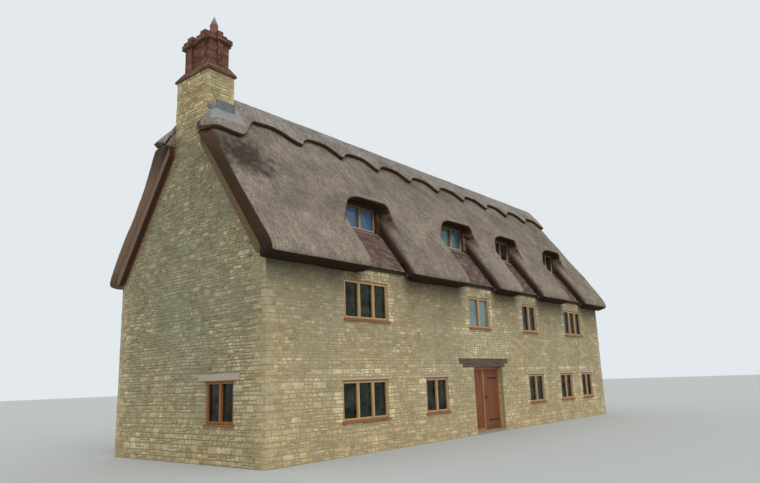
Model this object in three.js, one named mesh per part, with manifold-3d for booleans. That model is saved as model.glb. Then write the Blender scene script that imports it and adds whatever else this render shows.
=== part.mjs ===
// A long thatched stone cottage with four eyebrow dormers, a scalloped ridge and a stone and brick chimney.
// Millimetres, +Z up. While it is built, X runs along the front wall from its near corner, Y runs from the
// front wall to the rear wall, and Z is the height above the ground. The last lines centre it on its base.

import * as THREE from "three";
import { mergeVertices } from "three/addons/utils/BufferGeometryUtils.js";
import Module from "manifold-3d";

const wasm = await Module();
wasm.setup();

// Walls and floors
const HOUSE_LENGTH = 18470;
const HOUSE_WIDTH = 5900;
const WALL = 500;
const GAP = 0.3;
const GROUND_FLOOR_TOP = 60;
const FIRST_FLOOR_TOP = 2350;
const ATTIC_FLOOR_TOP = 4650;
const FLOOR_DEPTH = 250;
const ATTIC_FLOOR_DEPTH = 200;

// Roof: heights at the face of the front wall, and rise for each millimetre towards the ridge
const WALL_HEAD = 4288;
const FRAME_RISE = 1.429;
const FRAME_TOP = 4619;
const FRAME_TOP_RISE = 1.4;
const THATCH_TOP = 5271;
const THATCH_RISE = 1.372;
const ROOF_GAP = 0.5;
const EAVE_OVERHANG = 421;
const FRAME_OVERHANG = 60;
const EAVE_SEAT = 4450;
const NEAR_VERGE = 211;
const FAR_VERGE = 330;
const FRAME_INSET = 26;

// Section of the eave as [place behind the wall face, height], from the slope round the nose to the underside
const EAVE_SLOPE_END = 330;
const EAVE_NOSE = [[-250, 4850], [-362, 4660], [-409, 4540], [-EAVE_OVERHANG, 4438], [-392, 4404]];
const EAVE_UNDERSIDE = 4318;

// Ridge cap, measured down the slope from the ridge line
const CAP_THICKNESS = 92;
const CAP_CREST = 9400;
const CAP_CREST_HALF = 150;
const CAP_SHOULDER_DROP = 60;
const CAP_CREST_DROP = 16;
const CAP_HIGH = 810;
const CAP_TIP = 1205;
const CAP_APRON = 1855;
const CAP_FIRST_TIP = 3178;
const CAP_TIP_SPACING = 1727;
const CAP_APRON_END = 570;
const CAP_STEP_END = 1600;
const CAP_STATIONS = 10;
const CAP_POINT_SHARPNESS = 4;

// Chimney
const STACK_DEPTH = 810;
const STACK_FRONT = 2274;
const STACK_REAR = 3617;
const STACK_TOP = 9596;
const STACK_SEAT = 7537;
const BRICK_BASE_OVERHANG = 50;
const BRICK_BASE_EDGE = 55;
const BRICK_FOOT = 9888;
const BRICK_FOOT_SPREAD = 20;
const RIB_SINK = 100;
const BRICK_NEAR = 130;
const BRICK_FAR = 735;
const BRICK_FRONT = 2420;
const BRICK_REAR = 3490;
const BRICK_SHAFT_TOP = 10560;
const BRICK_CAP_TOP = 10700;
const BRICK_CAP_OVERHANG = 70;
const RIB_TOP = 10850;
const RIB_DEPTH = 55;
const LONG_RIB_WIDTH = 205;
const SHORT_RIB_WIDTH = 150;
const LONG_RIB_CENTRES = [2660, 3231];
const POT_X = 425;
const POT_Y = 2660;
const POT_RADIUS = 130;
const POT_TOP = 11120;
const COWL_TOP = 11380;
const ROUND_SIDES = 20;

// Profile of the pot as [share of its radius, height], and of the foot of its cowl
const POT_PROFILE = [[0, 0], [1.1, 0], [1, 60], [0.8, 190], [0.84, 225], [0.84, POT_TOP - RIB_TOP]];
const COWL_FOOT = [[0, 0], [0.66, 0], [0.74, 30]];
const COWL_TIP_RADIUS = 12;

// Doorway
const DOORWAY = { left: 8164, right: 9895, head: 1982 };
const LINTEL = { left: 7361, right: 10291, bottom: 2086, top: 2235, proud: 15 };
const LINTEL_LOWER = { left: 7560, right: 10060 };
const DOOR_FRAME_FRONT = 150;
const DOOR_FRAME_DEPTH = 100;
const DOOR_JAMB = 70;
const DOOR_HEAD = 80;
const DOOR_SILL = 30;
const DOOR_PANEL_WIDTH = 636;
const DOOR_PANEL_DEPTH = 34;
const DOOR_PANEL_HOUSING = 10;
const DOOR_LEAF_DEPTH = 45;
const DOOR_CLEARANCE = 6;
const HINGE_SWING_CLEARANCE = 9;
const PIN_RADIUS = 10;
const EYE_BORE = 10.7;
const EYE_RADIUS = 16;
const PIN_OUT_X = 5;
const PIN_OUT_Y = 22;
const EYE_HEIGHT = 60;
const PIN_ABOVE_EYE = 12;
const PIN_ROOT = 10;
const PIN_BRACKET = { before: 8, after: 30, behind: 14, height: 30 };
const EYE_ARM = { before: 12, half: 12 };
const HINGE_HEIGHTS = [330, 1600];
const STRAP_LENGTH = 520;
const STRAP_DEPTH = 20;
const STRAP_INSET = 5;

// Windows in the walls: [near edge, far edge, number of lights]
const WINDOW_REVEAL = 25;
const WINDOW_DEPTH = 56;
const WINDOW_BAR = 52;
const GLASS = 6;
const GLASS_MARGIN = 20;
const UPPER = {
  sill: 3162,
  head: 4137,
  spans: [[2433, 4121, 3], [8088, 9346, 2], [11602, 12697, 2], [15091, 16742, 3]],
};
const LOWER = {
  sill: 760,
  head: 1706,
  spans: [[2308, 4009, 3], [5636, 6734, 2], [11728, 12903, 2], [14295, 15378, 2], [16275, 17326, 2]],
};
const REAR_SPANS = [[3900, 5590, 3], [12880, 14570, 3]];
const GABLE_WINDOW = { near: 1046, far: 2060, sill: 848, head: 1794, lights: 2 };

// Dormers: light, tips and valley are half widths about a centre on the front wall
const CHEEK = 70;
const FRAME_SET_BACK = 30;
const DORMER_SILL = 30;
const DORMER_HEAD = 30;
const CASING_ABOVE_ARCH = 40;
const VALLEY_RIM = 10;

// The arch at the lip of a dormer, as [share of the half width, share of the height]
const ARCH = [[1, -0.1], [1, 0], [0.84, 0.5], [0.74, 0.85], [0.54, 1]];
const ARCH_CROWN = 0.9;

// The hood over a dormer: how far it runs up the slope and sinks into it, and where its sides die away
const HOOD_LENGTH = 1150;
const HOOD_SINK = 130;
const HOOD_EDGE_SINK = 6;
const HOOD_FULL = 0.5;
const HOOD_GONE = 1.06;
const HOOD_WIDTH = 1.1;
const HOOD_MARGIN = 60;
const HOOD_COLUMNS = 18;
const HOOD_ROWS = 9;
const HOLLOW_STEP = 2;
const HOLLOW_SINK = 4;
const DORMERS = [
  { centre: 3985, lip: 253, window: 760, tips: 1256, height: 817, light: 640, valley: 800 },
  { centre: 8658, lip: 421, window: 843, tips: 1290, height: 759, light: 640, valley: 860 },
  { centre: 11971, lip: 421, window: 843, tips: 1134, height: 759, light: 600, valley: 720 },
  { centre: 15815, lip: 421, window: 843, tips: 1155, height: 759, light: 600, valley: 720 },
];

function material(color, roughness, metalness = 0) {
  return new THREE.MeshStandardMaterial({ color, roughness, metalness });
}

const STONE = material(0xa79c82, 0.95);
const THATCH = material(0x8c8074, 1.0);
const RIDGE_THATCH = material(0x857b70, 1.0);
const ROOF_TIMBER = material(0x8a5a34, 0.8);
const FLOOR_TIMBER = material(0x94785a, 0.75);
const FLOOR_SLAB = material(0x9c968a, 0.9);
const WINDOW_TIMBER = material(0xb98152, 0.6);
const DOOR_TIMBER = material(0x8d4f36, 0.6);
const OAK = material(0x5c4d3e, 0.85);
const BRICK = material(0x8c4b3c, 0.9);
const CLAY = material(0xb05540, 0.8);
const LEAD = material(0x7c858a, 0.5, 0.7);
const WINDOW_GLASS = material(0x3f4f55, 0.05);
WINDOW_GLASS.transparent = true;
WINDOW_GLASS.opacity = 0.5;

const house = new THREE.Group();

function addPiece(name, geometry, finish, place = [0, 0, 0]) {
  const mesh = new THREE.Mesh(geometry, finish);
  mesh.name = name;
  mesh.position.set(...place);
  house.add(mesh);
  return mesh;
}

// Solids and booleans

function solid(geometry) {
  const bare = geometry.clone();
  bare.deleteAttribute("normal");
  bare.deleteAttribute("uv");
  const merged = mergeVertices(bare, 1e-3);
  const vertProperties = new Float32Array(merged.attributes.position.array);
  const triVerts = new Uint32Array(merged.index.array);
  return new wasm.Manifold(new wasm.Mesh({ numProp: 3, vertProperties, triVerts }));
}

// The main body of a cut solid, without the crumbs that a grazing cut can leave
function mainBody(manifold) {
  const bodies = manifold.decompose();
  return bodies.reduce((best, body) => (body.volume() > best.volume() ? body : best));
}

function geometryOf(manifold) {
  const mesh = manifold.getMesh();
  const geometry = new THREE.BufferGeometry();
  geometry.setAttribute("position", new THREE.BufferAttribute(new Float32Array(mesh.vertProperties), 3));
  geometry.setIndex(new THREE.BufferAttribute(new Uint32Array(mesh.triVerts), 1));
  geometry.computeVertexNormals();
  return geometry;
}

function extrude(points, depth) {
  const shape = new THREE.Shape(points.map(([u, v]) => new THREE.Vector2(u, v)));
  return new THREE.ExtrudeGeometry(shape, { depth, bevelEnabled: false });
}

// An outline in X and Z, given thickness from y0 to y1
function frontPanel(points, y0, y1) {
  const geometry = extrude(points, y1 - y0);
  geometry.rotateX(Math.PI / 2);
  geometry.translate(0, y1, 0);
  return geometry;
}

// An outline in Y and Z, given thickness from x0 to x1
function sidePanel(points, x0, x1) {
  const geometry = extrude(points, x1 - x0);
  const turn = new THREE.Matrix4().makeBasis(
    new THREE.Vector3(0, 1, 0),
    new THREE.Vector3(0, 0, 1),
    new THREE.Vector3(1, 0, 0),
  );
  geometry.applyMatrix4(turn);
  geometry.translate(x0, 0, 0);
  return geometry;
}

// A panel of either kind with its openings cut right through
function piercedPanel(panel, points, holes, from, to) {
  return holes.reduce(
    (body, hole) => body.subtract(solid(panel(hole, from - 1, to + 1))),
    solid(panel(points, from, to)),
  );
}

// An outline in X and Y, given thickness from z0 to z1
function floorPanel(points, z0, z1) {
  const geometry = extrude(points, z1 - z0);
  geometry.translate(0, 0, z0);
  return geometry;
}

function box(x0, x1, y0, y1, z0, z1) {
  const geometry = new THREE.BoxGeometry(x1 - x0, y1 - y0, z1 - z0);
  geometry.translate((x0 + x1) / 2, (y0 + y1) / 2, (z0 + z1) / 2);
  return geometry;
}

function post(x, y, z0, z1, radius, sides = 16) {
  const geometry = new THREE.CylinderGeometry(radius, radius, z1 - z0, sides);
  geometry.rotateX(Math.PI / 2);
  geometry.translate(x, y, (z0 + z1) / 2);
  return geometry;
}

function rectangle(u0, u1, v0, v1) {
  return [[u0, v0], [u1, v0], [u1, v1], [u0, v1]];
}

// A closed skin through rings of equally many points, with a flat end at the first and the last ring.
// The ends are filled from their middle, or corner to corner where the ring bends round a hollow.
function loft(rings, bent = false) {
  const count = rings[0].length;
  const points = rings.flat();
  const index = [];
  for (let r = 0; r + 1 < rings.length; r += 1) {
    for (let i = 0; i < count; i += 1) {
      const a = r * count + i;
      const b = r * count + (i + 1) % count;
      index.push(a, b, b + count, a, b + count, a + count);
    }
  }
  for (const [ring, flipped] of [[0, true], [rings.length - 1, false]]) {
    const base = ring * count;
    const triangles = bent ? cornerTriangles(rings[ring]) : middleTriangles(count, points.length - base);
    if (!bent) {
      points.push([0, 1, 2].map((axis) => rings[ring].reduce((sum, p) => sum + p[axis], 0) / count));
    }
    for (const [a, b, c] of triangles) {
      index.push(base + a, base + (flipped ? c : b), base + (flipped ? b : c));
    }
  }
  const geometry = new THREE.BufferGeometry();
  geometry.setAttribute("position", new THREE.Float32BufferAttribute(points.flat(), 3));
  geometry.setIndex(index);
  return geometry;
}

function middleTriangles(count, middle) {
  return Array.from({ length: count }, (_, i) => [i, (i + 1) % count, middle]);
}

function cornerTriangles(ring) {
  const corners = ring.map((p) => new THREE.Vector3(...p));
  const normal = new THREE.Vector3();
  corners.forEach((corner, i) => {
    normal.add(new THREE.Vector3().crossVectors(corner, corners[(i + 1) % corners.length]));
  });
  normal.normalize();
  const across = new THREE.Vector3().subVectors(corners[1], corners[0]).normalize();
  const up = new THREE.Vector3().crossVectors(normal, across);
  const flat = corners.map((p) => new THREE.Vector2(p.dot(across), p.dot(up)));
  return THREE.ShapeUtils.triangulateShape(flat, []);
}

// Heights of the roof layers above a place y behind the face of the front wall

const frameUnderside = (y) => WALL_HEAD + FRAME_RISE * y;
const eaveSeatEnd = (EAVE_SEAT - WALL_HEAD) / FRAME_RISE;
const frameTop = (y) => FRAME_TOP + FRAME_TOP_RISE * y;
const thatchTop = (y) => THATCH_TOP + THATCH_RISE * y;
const ridgeLine = HOUSE_WIDTH / 2;
const verge = { near: -NEAR_VERGE, far: HOUSE_LENGTH + FAR_VERGE };
const toRear = ([y, z]) => [HOUSE_WIDTH - y, z];
const stackCut = () => solid(
  box(
    -2 * NEAR_VERGE, STACK_DEPTH + GAP, STACK_FRONT - GAP, STACK_REAR + GAP,
    STACK_SEAT - WALL, STACK_TOP + WALL,
  ),
);

// Walls

function windowHoles(row, from, to) {
  return row.spans
    .filter(([near, far]) => near >= from && far <= to)
    .map(([near, far]) => rectangle(near, far, row.sill, row.head));
}

// Everything above the head of a long wall, where the roof frame rests: level at the face, then sloping
function wallHead(front) {
  const reach = 2 * WALL;
  const outline = [
    [-WALL, EAVE_SEAT - ROOF_GAP], [eaveSeatEnd, EAVE_SEAT - ROOF_GAP],
    [reach, frameUnderside(reach) - ROOF_GAP], [reach, frameUnderside(reach) + WALL],
    [-WALL, frameUnderside(reach) + WALL],
  ];
  return solid(sidePanel(front ? outline : outline.map(toRear), -WALL, HOUSE_LENGTH + WALL));
}

function longWall(name, outline, holes, front) {
  const y0 = front ? 0 : HOUSE_WIDTH - WALL;
  const wall = piercedPanel(frontPanel, outline, holes, y0, y0 + WALL).subtract(wallHead(front));
  addPiece(name, geometryOf(wall), STONE);
}

function gableOutline(cutTop) {
  const inner = WALL + GAP;
  const shoulder = frameUnderside(inner) - ROOF_GAP;
  const apex = frameUnderside(ridgeLine) - ROOF_GAP;
  const top = cutTop ? STACK_SEAT : apex;
  const reach = (top + ROOF_GAP - WALL_HEAD) / FRAME_RISE;
  const left = [[inner, shoulder], [inner, 0]];
  const right = [[HOUSE_WIDTH - inner, 0], [HOUSE_WIDTH - inner, shoulder]];
  const head = cutTop ? [[HOUSE_WIDTH - reach, top], [reach, top]] : [[ridgeLine, top]];
  return [...left, ...right, ...head];
}

function addWalls() {
  const high = frameUnderside(WALL) + GAP;
  const lintelLeft = LINTEL.left - GAP;
  const lintelRight = LINTEL.right + GAP;
  const stepLeft = LINTEL_LOWER.left - GAP;
  const stepRight = LINTEL_LOWER.right + GAP;
  const left = [
    [0, 0], [DOORWAY.left, 0], [DOORWAY.left, DOORWAY.head - GAP], [stepLeft, DOORWAY.head - GAP],
    [stepLeft, LINTEL.bottom - GAP], [lintelLeft, LINTEL.bottom - GAP], [lintelLeft, high], [0, high],
  ];
  const right = [
    [DOORWAY.right, 0], [HOUSE_LENGTH, 0], [HOUSE_LENGTH, high], [lintelRight, high],
    [lintelRight, LINTEL.bottom - GAP], [stepRight, LINTEL.bottom - GAP], [stepRight, DOORWAY.head - GAP],
    [DOORWAY.right, DOORWAY.head - GAP],
  ];
  const over = rectangle(LINTEL.left, LINTEL.right, LINTEL.top + GAP, high);
  const holesIn = (from, to) => [...windowHoles(UPPER, from, to), ...windowHoles(LOWER, from, to)];
  longWall("front_wall_left", left, holesIn(0, lintelLeft), true);
  longWall("front_wall_over_door", over, holesIn(LINTEL.left, LINTEL.right), true);
  longWall("front_wall_right", right, holesIn(lintelRight, HOUSE_LENGTH), true);

  const rearHoles = REAR_SPANS.flatMap(([near, far]) => [
    rectangle(near, far, UPPER.sill, UPPER.head),
    rectangle(near, far, LOWER.sill, LOWER.head),
  ]);
  longWall("rear_wall", rectangle(0, HOUSE_LENGTH, 0, high), rearHoles, false);

  const w = GABLE_WINDOW;
  const gableHole = rectangle(w.near, w.far, w.sill, w.head);
  const nearGable = piercedPanel(sidePanel, gableOutline(true), [gableHole], 0, WALL);
  addPiece("gable_wall_near", geometryOf(nearGable), STONE);
  addPiece("gable_wall_far", sidePanel(gableOutline(false), HOUSE_LENGTH - WALL, HOUSE_LENGTH), STONE);
}

// Floors, notched round the chimney breast

function floorOutline(tongue) {
  const near = WALL + GAP;
  const far = HOUSE_LENGTH - WALL - GAP;
  const front = WALL + GAP;
  const rear = HOUSE_WIDTH - WALL - GAP;
  const breast = STACK_DEPTH + GAP;
  const threshold = [
    [DOORWAY.left + GAP, front], [DOORWAY.left + GAP, 0],
    [DOORWAY.right - GAP, 0], [DOORWAY.right - GAP, front],
  ];
  return [
    [near, front], ...(tongue ? threshold : []), [far, front], [far, rear], [near, rear],
    [near, STACK_REAR + GAP], [breast, STACK_REAR + GAP],
    [breast, STACK_FRONT - GAP], [near, STACK_FRONT - GAP],
  ];
}

function addFloors() {
  const boards = floorOutline(false);
  const firstUnderside = FIRST_FLOOR_TOP - FLOOR_DEPTH;
  const atticUnderside = ATTIC_FLOOR_TOP - ATTIC_FLOOR_DEPTH;
  addPiece("ground_floor", floorPanel(floorOutline(true), 0, GROUND_FLOOR_TOP), FLOOR_SLAB);
  addPiece("first_floor", floorPanel(boards, firstUnderside, FIRST_FLOOR_TOP), FLOOR_TIMBER);
  addPiece("attic_floor", floorPanel(boards, atticUnderside, ATTIC_FLOOR_TOP), FLOOR_TIMBER);
}

// Roof frame: the rafter layer of one slope, and on the front the boxes that hold the dormer windows

function frameSlope(front) {
  const middle = ridgeLine - GAP / 2;
  const outline = [
    [-FRAME_OVERHANG, EAVE_SEAT],
    [eaveSeatEnd, EAVE_SEAT],
    [middle, frameUnderside(middle)],
    [middle, frameTop(middle)],
    [-FRAME_OVERHANG, frameTop(-FRAME_OVERHANG)],
  ];
  const placed = front ? outline : outline.map(toRear);
  return solid(sidePanel(placed, verge.near + FRAME_INSET, verge.far - FRAME_INSET)).subtract(stackCut());
}

// Sizes of one dormer that follow from its lip, window place and width
function dormerSizes(dormer) {
  const tipHeight = thatchTop(dormer.lip);
  const archTop = tipHeight + dormer.height;
  return {
    ...dormer,
    tipHeight,
    archTop,
    sill: frameTop(dormer.window) + DORMER_SILL,
    head: archTop - DORMER_HEAD,
    boxHalf: dormer.light + CHEEK,
    boxTop: archTop + CASING_ABOVE_ARCH,
  };
}

function aboveFrameUnderside() {
  const reach = ridgeLine;
  const outline = [
    [-WALL, frameUnderside(-WALL)], [reach, frameUnderside(reach)], [reach, frameUnderside(reach) + WALL],
    [-WALL, frameUnderside(reach) + WALL],
  ];
  return solid(sidePanel(outline, 0, HOUSE_LENGTH));
}

function addRoofFrames() {
  let front = frameSlope(true);
  for (const dormer of DORMERS) {
    const d = dormerSizes(dormer);
    const back = (d.boxTop - WALL_HEAD) / FRAME_RISE;
    const casing = solid(
      box(d.centre - d.boxHalf, d.centre + d.boxHalf, d.window, back, frameUnderside(d.window), d.boxTop),
    );
    const room = solid(
      box(d.centre - d.light - GAP, d.centre + d.light + GAP, d.window - WALL, back + WALL, d.sill, d.head),
    );
    front = front.add(casing.intersect(aboveFrameUnderside())).subtract(room);
  }
  addPiece("roof_frame_front", geometryOf(front), ROOF_TIMBER);
  addPiece("roof_frame_rear", geometryOf(frameSlope(false)), ROOF_TIMBER);
}

// Thatch

function thatchOutline() {
  const middle = ridgeLine - GAP / 2;
  return [
    [middle, thatchTop(middle)],
    [EAVE_SLOPE_END, thatchTop(EAVE_SLOPE_END)],
    ...EAVE_NOSE,
    [-GAP, EAVE_UNDERSIDE],
    [-GAP, EAVE_SEAT - ROOF_GAP],
    [-FRAME_OVERHANG - GAP, EAVE_SEAT - ROOF_GAP],
    [-FRAME_OVERHANG - GAP, frameTop(-FRAME_OVERHANG) + ROOF_GAP],
    [middle, frameTop(middle) + ROOF_GAP],
  ];
}

function thatchSlope(front) {
  const outline = thatchOutline();
  const placed = front ? outline : outline.map(toRear);
  return solid(sidePanel(placed, verge.near, verge.far)).subtract(stackCut());
}

// The arch of a dormer opening as [offset from the centre, height above the tips]
function archOutline(d) {
  const half = ARCH.map(([u, v]) => [u * d.tips, v * d.height]);
  return [...half.map(([u, v]) => [-u, v]), ...half.reverse()];
}

// The swelling of the thatch over a dormer: full height at the lip, dying away up the slope and to the sides
function hoodSwell(d, across, along) {
  const pitch = Math.atan(THATCH_RISE);
  const crest = d.height * Math.cos(pitch);
  const lip = d.height * Math.sin(pitch);
  const beyond = Math.abs(across) / d.tips - HOOD_FULL;
  const side = THREE.MathUtils.clamp(beyond / (HOOD_GONE - HOOD_FULL), 0, 1);
  const sideFade = 0.5 + 0.5 * Math.cos(Math.PI * side);
  const up = THREE.MathUtils.clamp((along - lip) / HOOD_LENGTH, 0, 1);
  const upFade = 0.5 + 0.5 * Math.cos(Math.PI * up);
  return (crest + HOOD_EDGE_SINK) * sideFade * upFade - HOOD_EDGE_SINK;
}

function hoodSolid(d) {
  const pitch = Math.atan(THATCH_RISE);
  const halfWidth = d.tips * HOOD_WIDTH;
  const start = -HOOD_MARGIN;
  const end = d.height * Math.sin(pitch) + HOOD_LENGTH + HOOD_MARGIN;
  const place = (across, along, out) => [
    d.centre + across,
    d.lip + along * Math.cos(pitch) - out * Math.sin(pitch),
    d.tipHeight + along * Math.sin(pitch) + out * Math.cos(pitch),
  ];
  const rings = [];
  for (let r = 0; r <= HOOD_ROWS; r += 1) {
    const along = start + (end - start) * r / HOOD_ROWS;
    const ring = [];
    for (let c = 0; c <= HOOD_COLUMNS; c += 1) {
      const across = halfWidth * (2 * c / HOOD_COLUMNS - 1);
      ring.push(place(across, along, hoodSwell(d, across, along)));
    }
    ring.push(place(halfWidth, along, -HOOD_SINK), place(-halfWidth, along, -HOOD_SINK));
    rings.push(ring);
  }
  const trim = solid(
    box(d.centre - 2 * halfWidth, d.centre + 2 * halfWidth, -2 * HOUSE_WIDTH, d.lip, 0, 2 * STACK_TOP),
  );
  return solid(loft(rings)).subtract(trim);
}

// The hollow under the hood, from the arch at the lip back to the window box, above the slope of the thatch
function hoodHollow(d) {
  const front = archOutline(d).map(([u, v]) => [d.centre + u, d.lip - HOLLOW_STEP, d.tipHeight + v]);
  const squared = archOutline(d).map(([u, v]) => {
    const lift = v > ARCH_CROWN * d.height ? CASING_ABOVE_ARCH : 0;
    return [d.centre + Math.sign(u) * (d.boxHalf - lift), d.window - GAP, d.tipHeight + v + lift];
  });
  const ground = (y) => thatchTop(y) - HOLLOW_SINK;
  const slope = [
    [-2 * WALL, 0], [ridgeLine, 0], [ridgeLine, ground(ridgeLine)], [-2 * WALL, ground(-2 * WALL)],
  ];
  const below = solid(sidePanel(slope, 0, HOUSE_LENGTH));
  return solid(loft([front, squared])).subtract(below);
}

// The open valley from the dormer window down to the eave, through the whole depth of the thatch
function valley(d) {
  const outline = [
    [-2 * WALL, frameTop(-2 * WALL) - WALL], [d.window - GAP, frameTop(d.window) - WALL],
    [d.window - GAP, thatchTop(d.window) + VALLEY_RIM], [-2 * WALL, thatchTop(-2 * WALL) + VALLEY_RIM],
  ];
  return solid(sidePanel(outline, d.centre - d.valley, d.centre + d.valley));
}

function addThatch() {
  let front = thatchSlope(true);
  for (const dormer of DORMERS) {
    front = front.add(hoodSolid(dormerSizes(dormer)));
  }
  for (const dormer of DORMERS) {
    const d = dormerSizes(dormer);
    const casing = solid(box(
      d.centre - d.boxHalf - GAP, d.centre + d.boxHalf + GAP, d.window - GAP, ridgeLine,
      WALL_HEAD, d.boxTop + GAP,
    ));
    front = front.subtract(hoodHollow(d)).subtract(valley(d)).subtract(casing);
  }
  addPiece("thatch_front", geometryOf(mainBody(front)), THATCH);
  addPiece("thatch_rear", geometryOf(thatchSlope(false)), THATCH);
}

// Ridge cap: pointed scallops on both sides of the ridge, and a deep apron round the chimney

function capEdge(x) {
  if (x <= CAP_APRON_END) {
    return CAP_APRON;
  }
  if (x <= CAP_STEP_END) {
    const part = (x - CAP_APRON_END) / (CAP_STEP_END - CAP_APRON_END);
    return THREE.MathUtils.lerp(CAP_APRON, CAP_HIGH, part);
  }
  if (x <= CAP_FIRST_TIP) {
    const part = (x - CAP_STEP_END) / (CAP_FIRST_TIP - CAP_STEP_END);
    return CAP_HIGH + (CAP_TIP - CAP_HIGH) * part ** CAP_POINT_SHARPNESS;
  }
  const turn = ((x - CAP_FIRST_TIP) / CAP_TIP_SPACING) % 1;
  return CAP_HIGH + (CAP_TIP - CAP_HIGH) * Math.abs(2 * turn - 1) ** CAP_POINT_SHARPNESS;
}

function capStations() {
  const stations = [verge.near];
  for (const [from, to, steps] of [
    [verge.near, CAP_APRON_END, 2], [CAP_APRON_END, CAP_STEP_END, 4], [CAP_STEP_END, CAP_FIRST_TIP, 6],
  ]) {
    for (let i = 1; i <= steps; i += 1) {
      stations.push(from + (to - from) * i / steps);
    }
  }
  const step = CAP_TIP_SPACING / CAP_STATIONS;
  for (let x = CAP_FIRST_TIP + step; x < verge.far - step / 2; x += step) {
    stations.push(x);
  }
  stations.push(verge.far);
  return stations;
}

function capSection(x) {
  const run = 1 / Math.hypot(1, THATCH_RISE);
  const pitch = Math.atan(THATCH_RISE);
  const edge = ridgeLine - capEdge(x) * run;
  const out = [-CAP_THICKNESS * Math.sin(pitch), CAP_THICKNESS * Math.cos(pitch)];
  const shoulder = ridgeLine - CAP_CREST_HALF;
  const shoulderHeight = thatchTop(shoulder - out[0]) + out[1];
  const side = [
    [edge, thatchTop(edge) + ROOF_GAP],
    [edge + out[0], thatchTop(edge) + out[1]],
    [shoulder, Math.min(shoulderHeight, CAP_CREST - CAP_SHOULDER_DROP)],
    [shoulder + CAP_CREST_HALF / 2, CAP_CREST - CAP_CREST_DROP],
  ];
  const half = side.slice().reverse().map(toRear);
  const ring = [...side, [ridgeLine, CAP_CREST], ...half, [ridgeLine, thatchTop(ridgeLine) + ROOF_GAP]];
  return ring.map(([y, z]) => [x, y, z]);
}

function addRidgeCap() {
  const cap = solid(loft(capStations().map((x) => capSection(x).reverse()), true));
  addPiece("ridge_cap", geometryOf(cap.subtract(stackCut())), RIDGE_THATCH);
}

// Chimney

// A profile of [radius, height] turned about an upright axis
function turned(profile) {
  const geometry = new THREE.LatheGeometry(profile.map(([r, z]) => new THREE.Vector2(r, z)), ROUND_SIDES);
  geometry.rotateX(Math.PI / 2);
  return geometry;
}

function addChimney() {
  const stack = [
    [WALL + GAP, 0], [STACK_DEPTH, 0], [STACK_DEPTH, STACK_TOP], [0, STACK_TOP], [0, STACK_SEAT + GAP],
    [WALL + GAP, STACK_SEAT + GAP],
  ];
  addPiece("chimney_stack", frontPanel(stack, STACK_FRONT, STACK_REAR), STONE);

  const ring = (x0, x1, y0, y1, z) => [[x0, y0, z], [x1, y0, z], [x1, y1, z], [x0, y1, z]];
  const base = [-BRICK_BASE_OVERHANG, STACK_DEPTH + BRICK_BASE_OVERHANG];
  const sides = [STACK_FRONT - BRICK_BASE_OVERHANG, STACK_REAR + BRICK_BASE_OVERHANG];
  const foot = STACK_TOP + GAP;
  let brick = solid(loft([
    ring(...base, ...sides, foot),
    ring(...base, ...sides, foot + BRICK_BASE_EDGE),
    ring(
      BRICK_NEAR - BRICK_FOOT_SPREAD, BRICK_FAR + BRICK_FOOT_SPREAD,
      BRICK_FRONT - BRICK_FOOT_SPREAD, BRICK_REAR + BRICK_FOOT_SPREAD, BRICK_FOOT,
    ),
  ]));
  const blocks = [[BRICK_NEAR, BRICK_FAR, BRICK_FRONT, BRICK_REAR, foot + BRICK_BASE_EDGE, BRICK_CAP_TOP]];
  const long = LONG_RIB_WIDTH / 2;
  const short = SHORT_RIB_WIDTH / 2;
  const middle = (BRICK_NEAR + BRICK_FAR) / 2;
  const heights = [BRICK_FOOT - RIB_SINK, RIB_TOP];
  for (const y of LONG_RIB_CENTRES) {
    blocks.push([BRICK_NEAR - RIB_DEPTH, BRICK_FAR + RIB_DEPTH, y - long, y + long, ...heights]);
  }
  blocks.push([middle - short, middle + short, BRICK_FRONT - RIB_DEPTH, BRICK_REAR + RIB_DEPTH, ...heights]);
  for (const [x0, x1, y0, y1] of blocks.slice()) {
    const o = BRICK_CAP_OVERHANG;
    blocks.push([x0 - o, x1 + o, y0 - o, y1 + o, BRICK_SHAFT_TOP, BRICK_CAP_TOP]);
  }
  for (const block of blocks) {
    brick = brick.add(solid(box(...block)));
  }
  addPiece("chimney_brickwork", geometryOf(brick), BRICK);

  const scaled = (profile) => profile.map(([share, z]) => [share * POT_RADIUS, z]);
  const cowlHeight = COWL_TOP - POT_TOP;
  const pot = turned([...scaled(POT_PROFILE), [0, POT_TOP - RIB_TOP]]);
  const cowl = turned([...scaled(COWL_FOOT), [COWL_TIP_RADIUS, cowlHeight], [0, cowlHeight]]);
  addPiece("chimney_pot", pot, CLAY, [POT_X, POT_Y, RIB_TOP + GAP]);
  addPiece("chimney_cowl", cowl, LEAD, [POT_X, POT_Y, POT_TOP + 2 * GAP]);
}

// Windows: a timber frame with its mullions, and one sheet of glass against its back

function lightOpenings(width, height, lights) {
  const pitch = (width - WINDOW_BAR) / lights;
  return Array.from({ length: lights }, (_, i) => {
    const left = -width / 2 + WINDOW_BAR + i * pitch;
    return rectangle(left, left + pitch - WINDOW_BAR, WINDOW_BAR, height - WINDOW_BAR);
  });
}

// turn is the angle about Z that faces the outside of the window, -Y, the way it looks
function addWindow(names, centre, width, height, lights, turn) {
  const w = width - 2 * GAP;
  const h = height - 2 * GAP;
  const outline = rectangle(-w / 2, w / 2, 0, h);
  const frame = geometryOf(piercedPanel(frontPanel, outline, lightOpenings(w, h, lights), 0, WINDOW_DEPTH));
  const edge = w / 2 - GLASS_MARGIN;
  const behind = WINDOW_DEPTH + GAP;
  const pane = box(-edge, edge, behind, behind + GLASS, GLASS_MARGIN, h - GLASS_MARGIN);
  addPiece(names.frame, frame, WINDOW_TIMBER, centre).rotation.z = turn;
  addPiece(names.glass, pane, WINDOW_GLASS, centre).rotation.z = turn;
}

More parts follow.
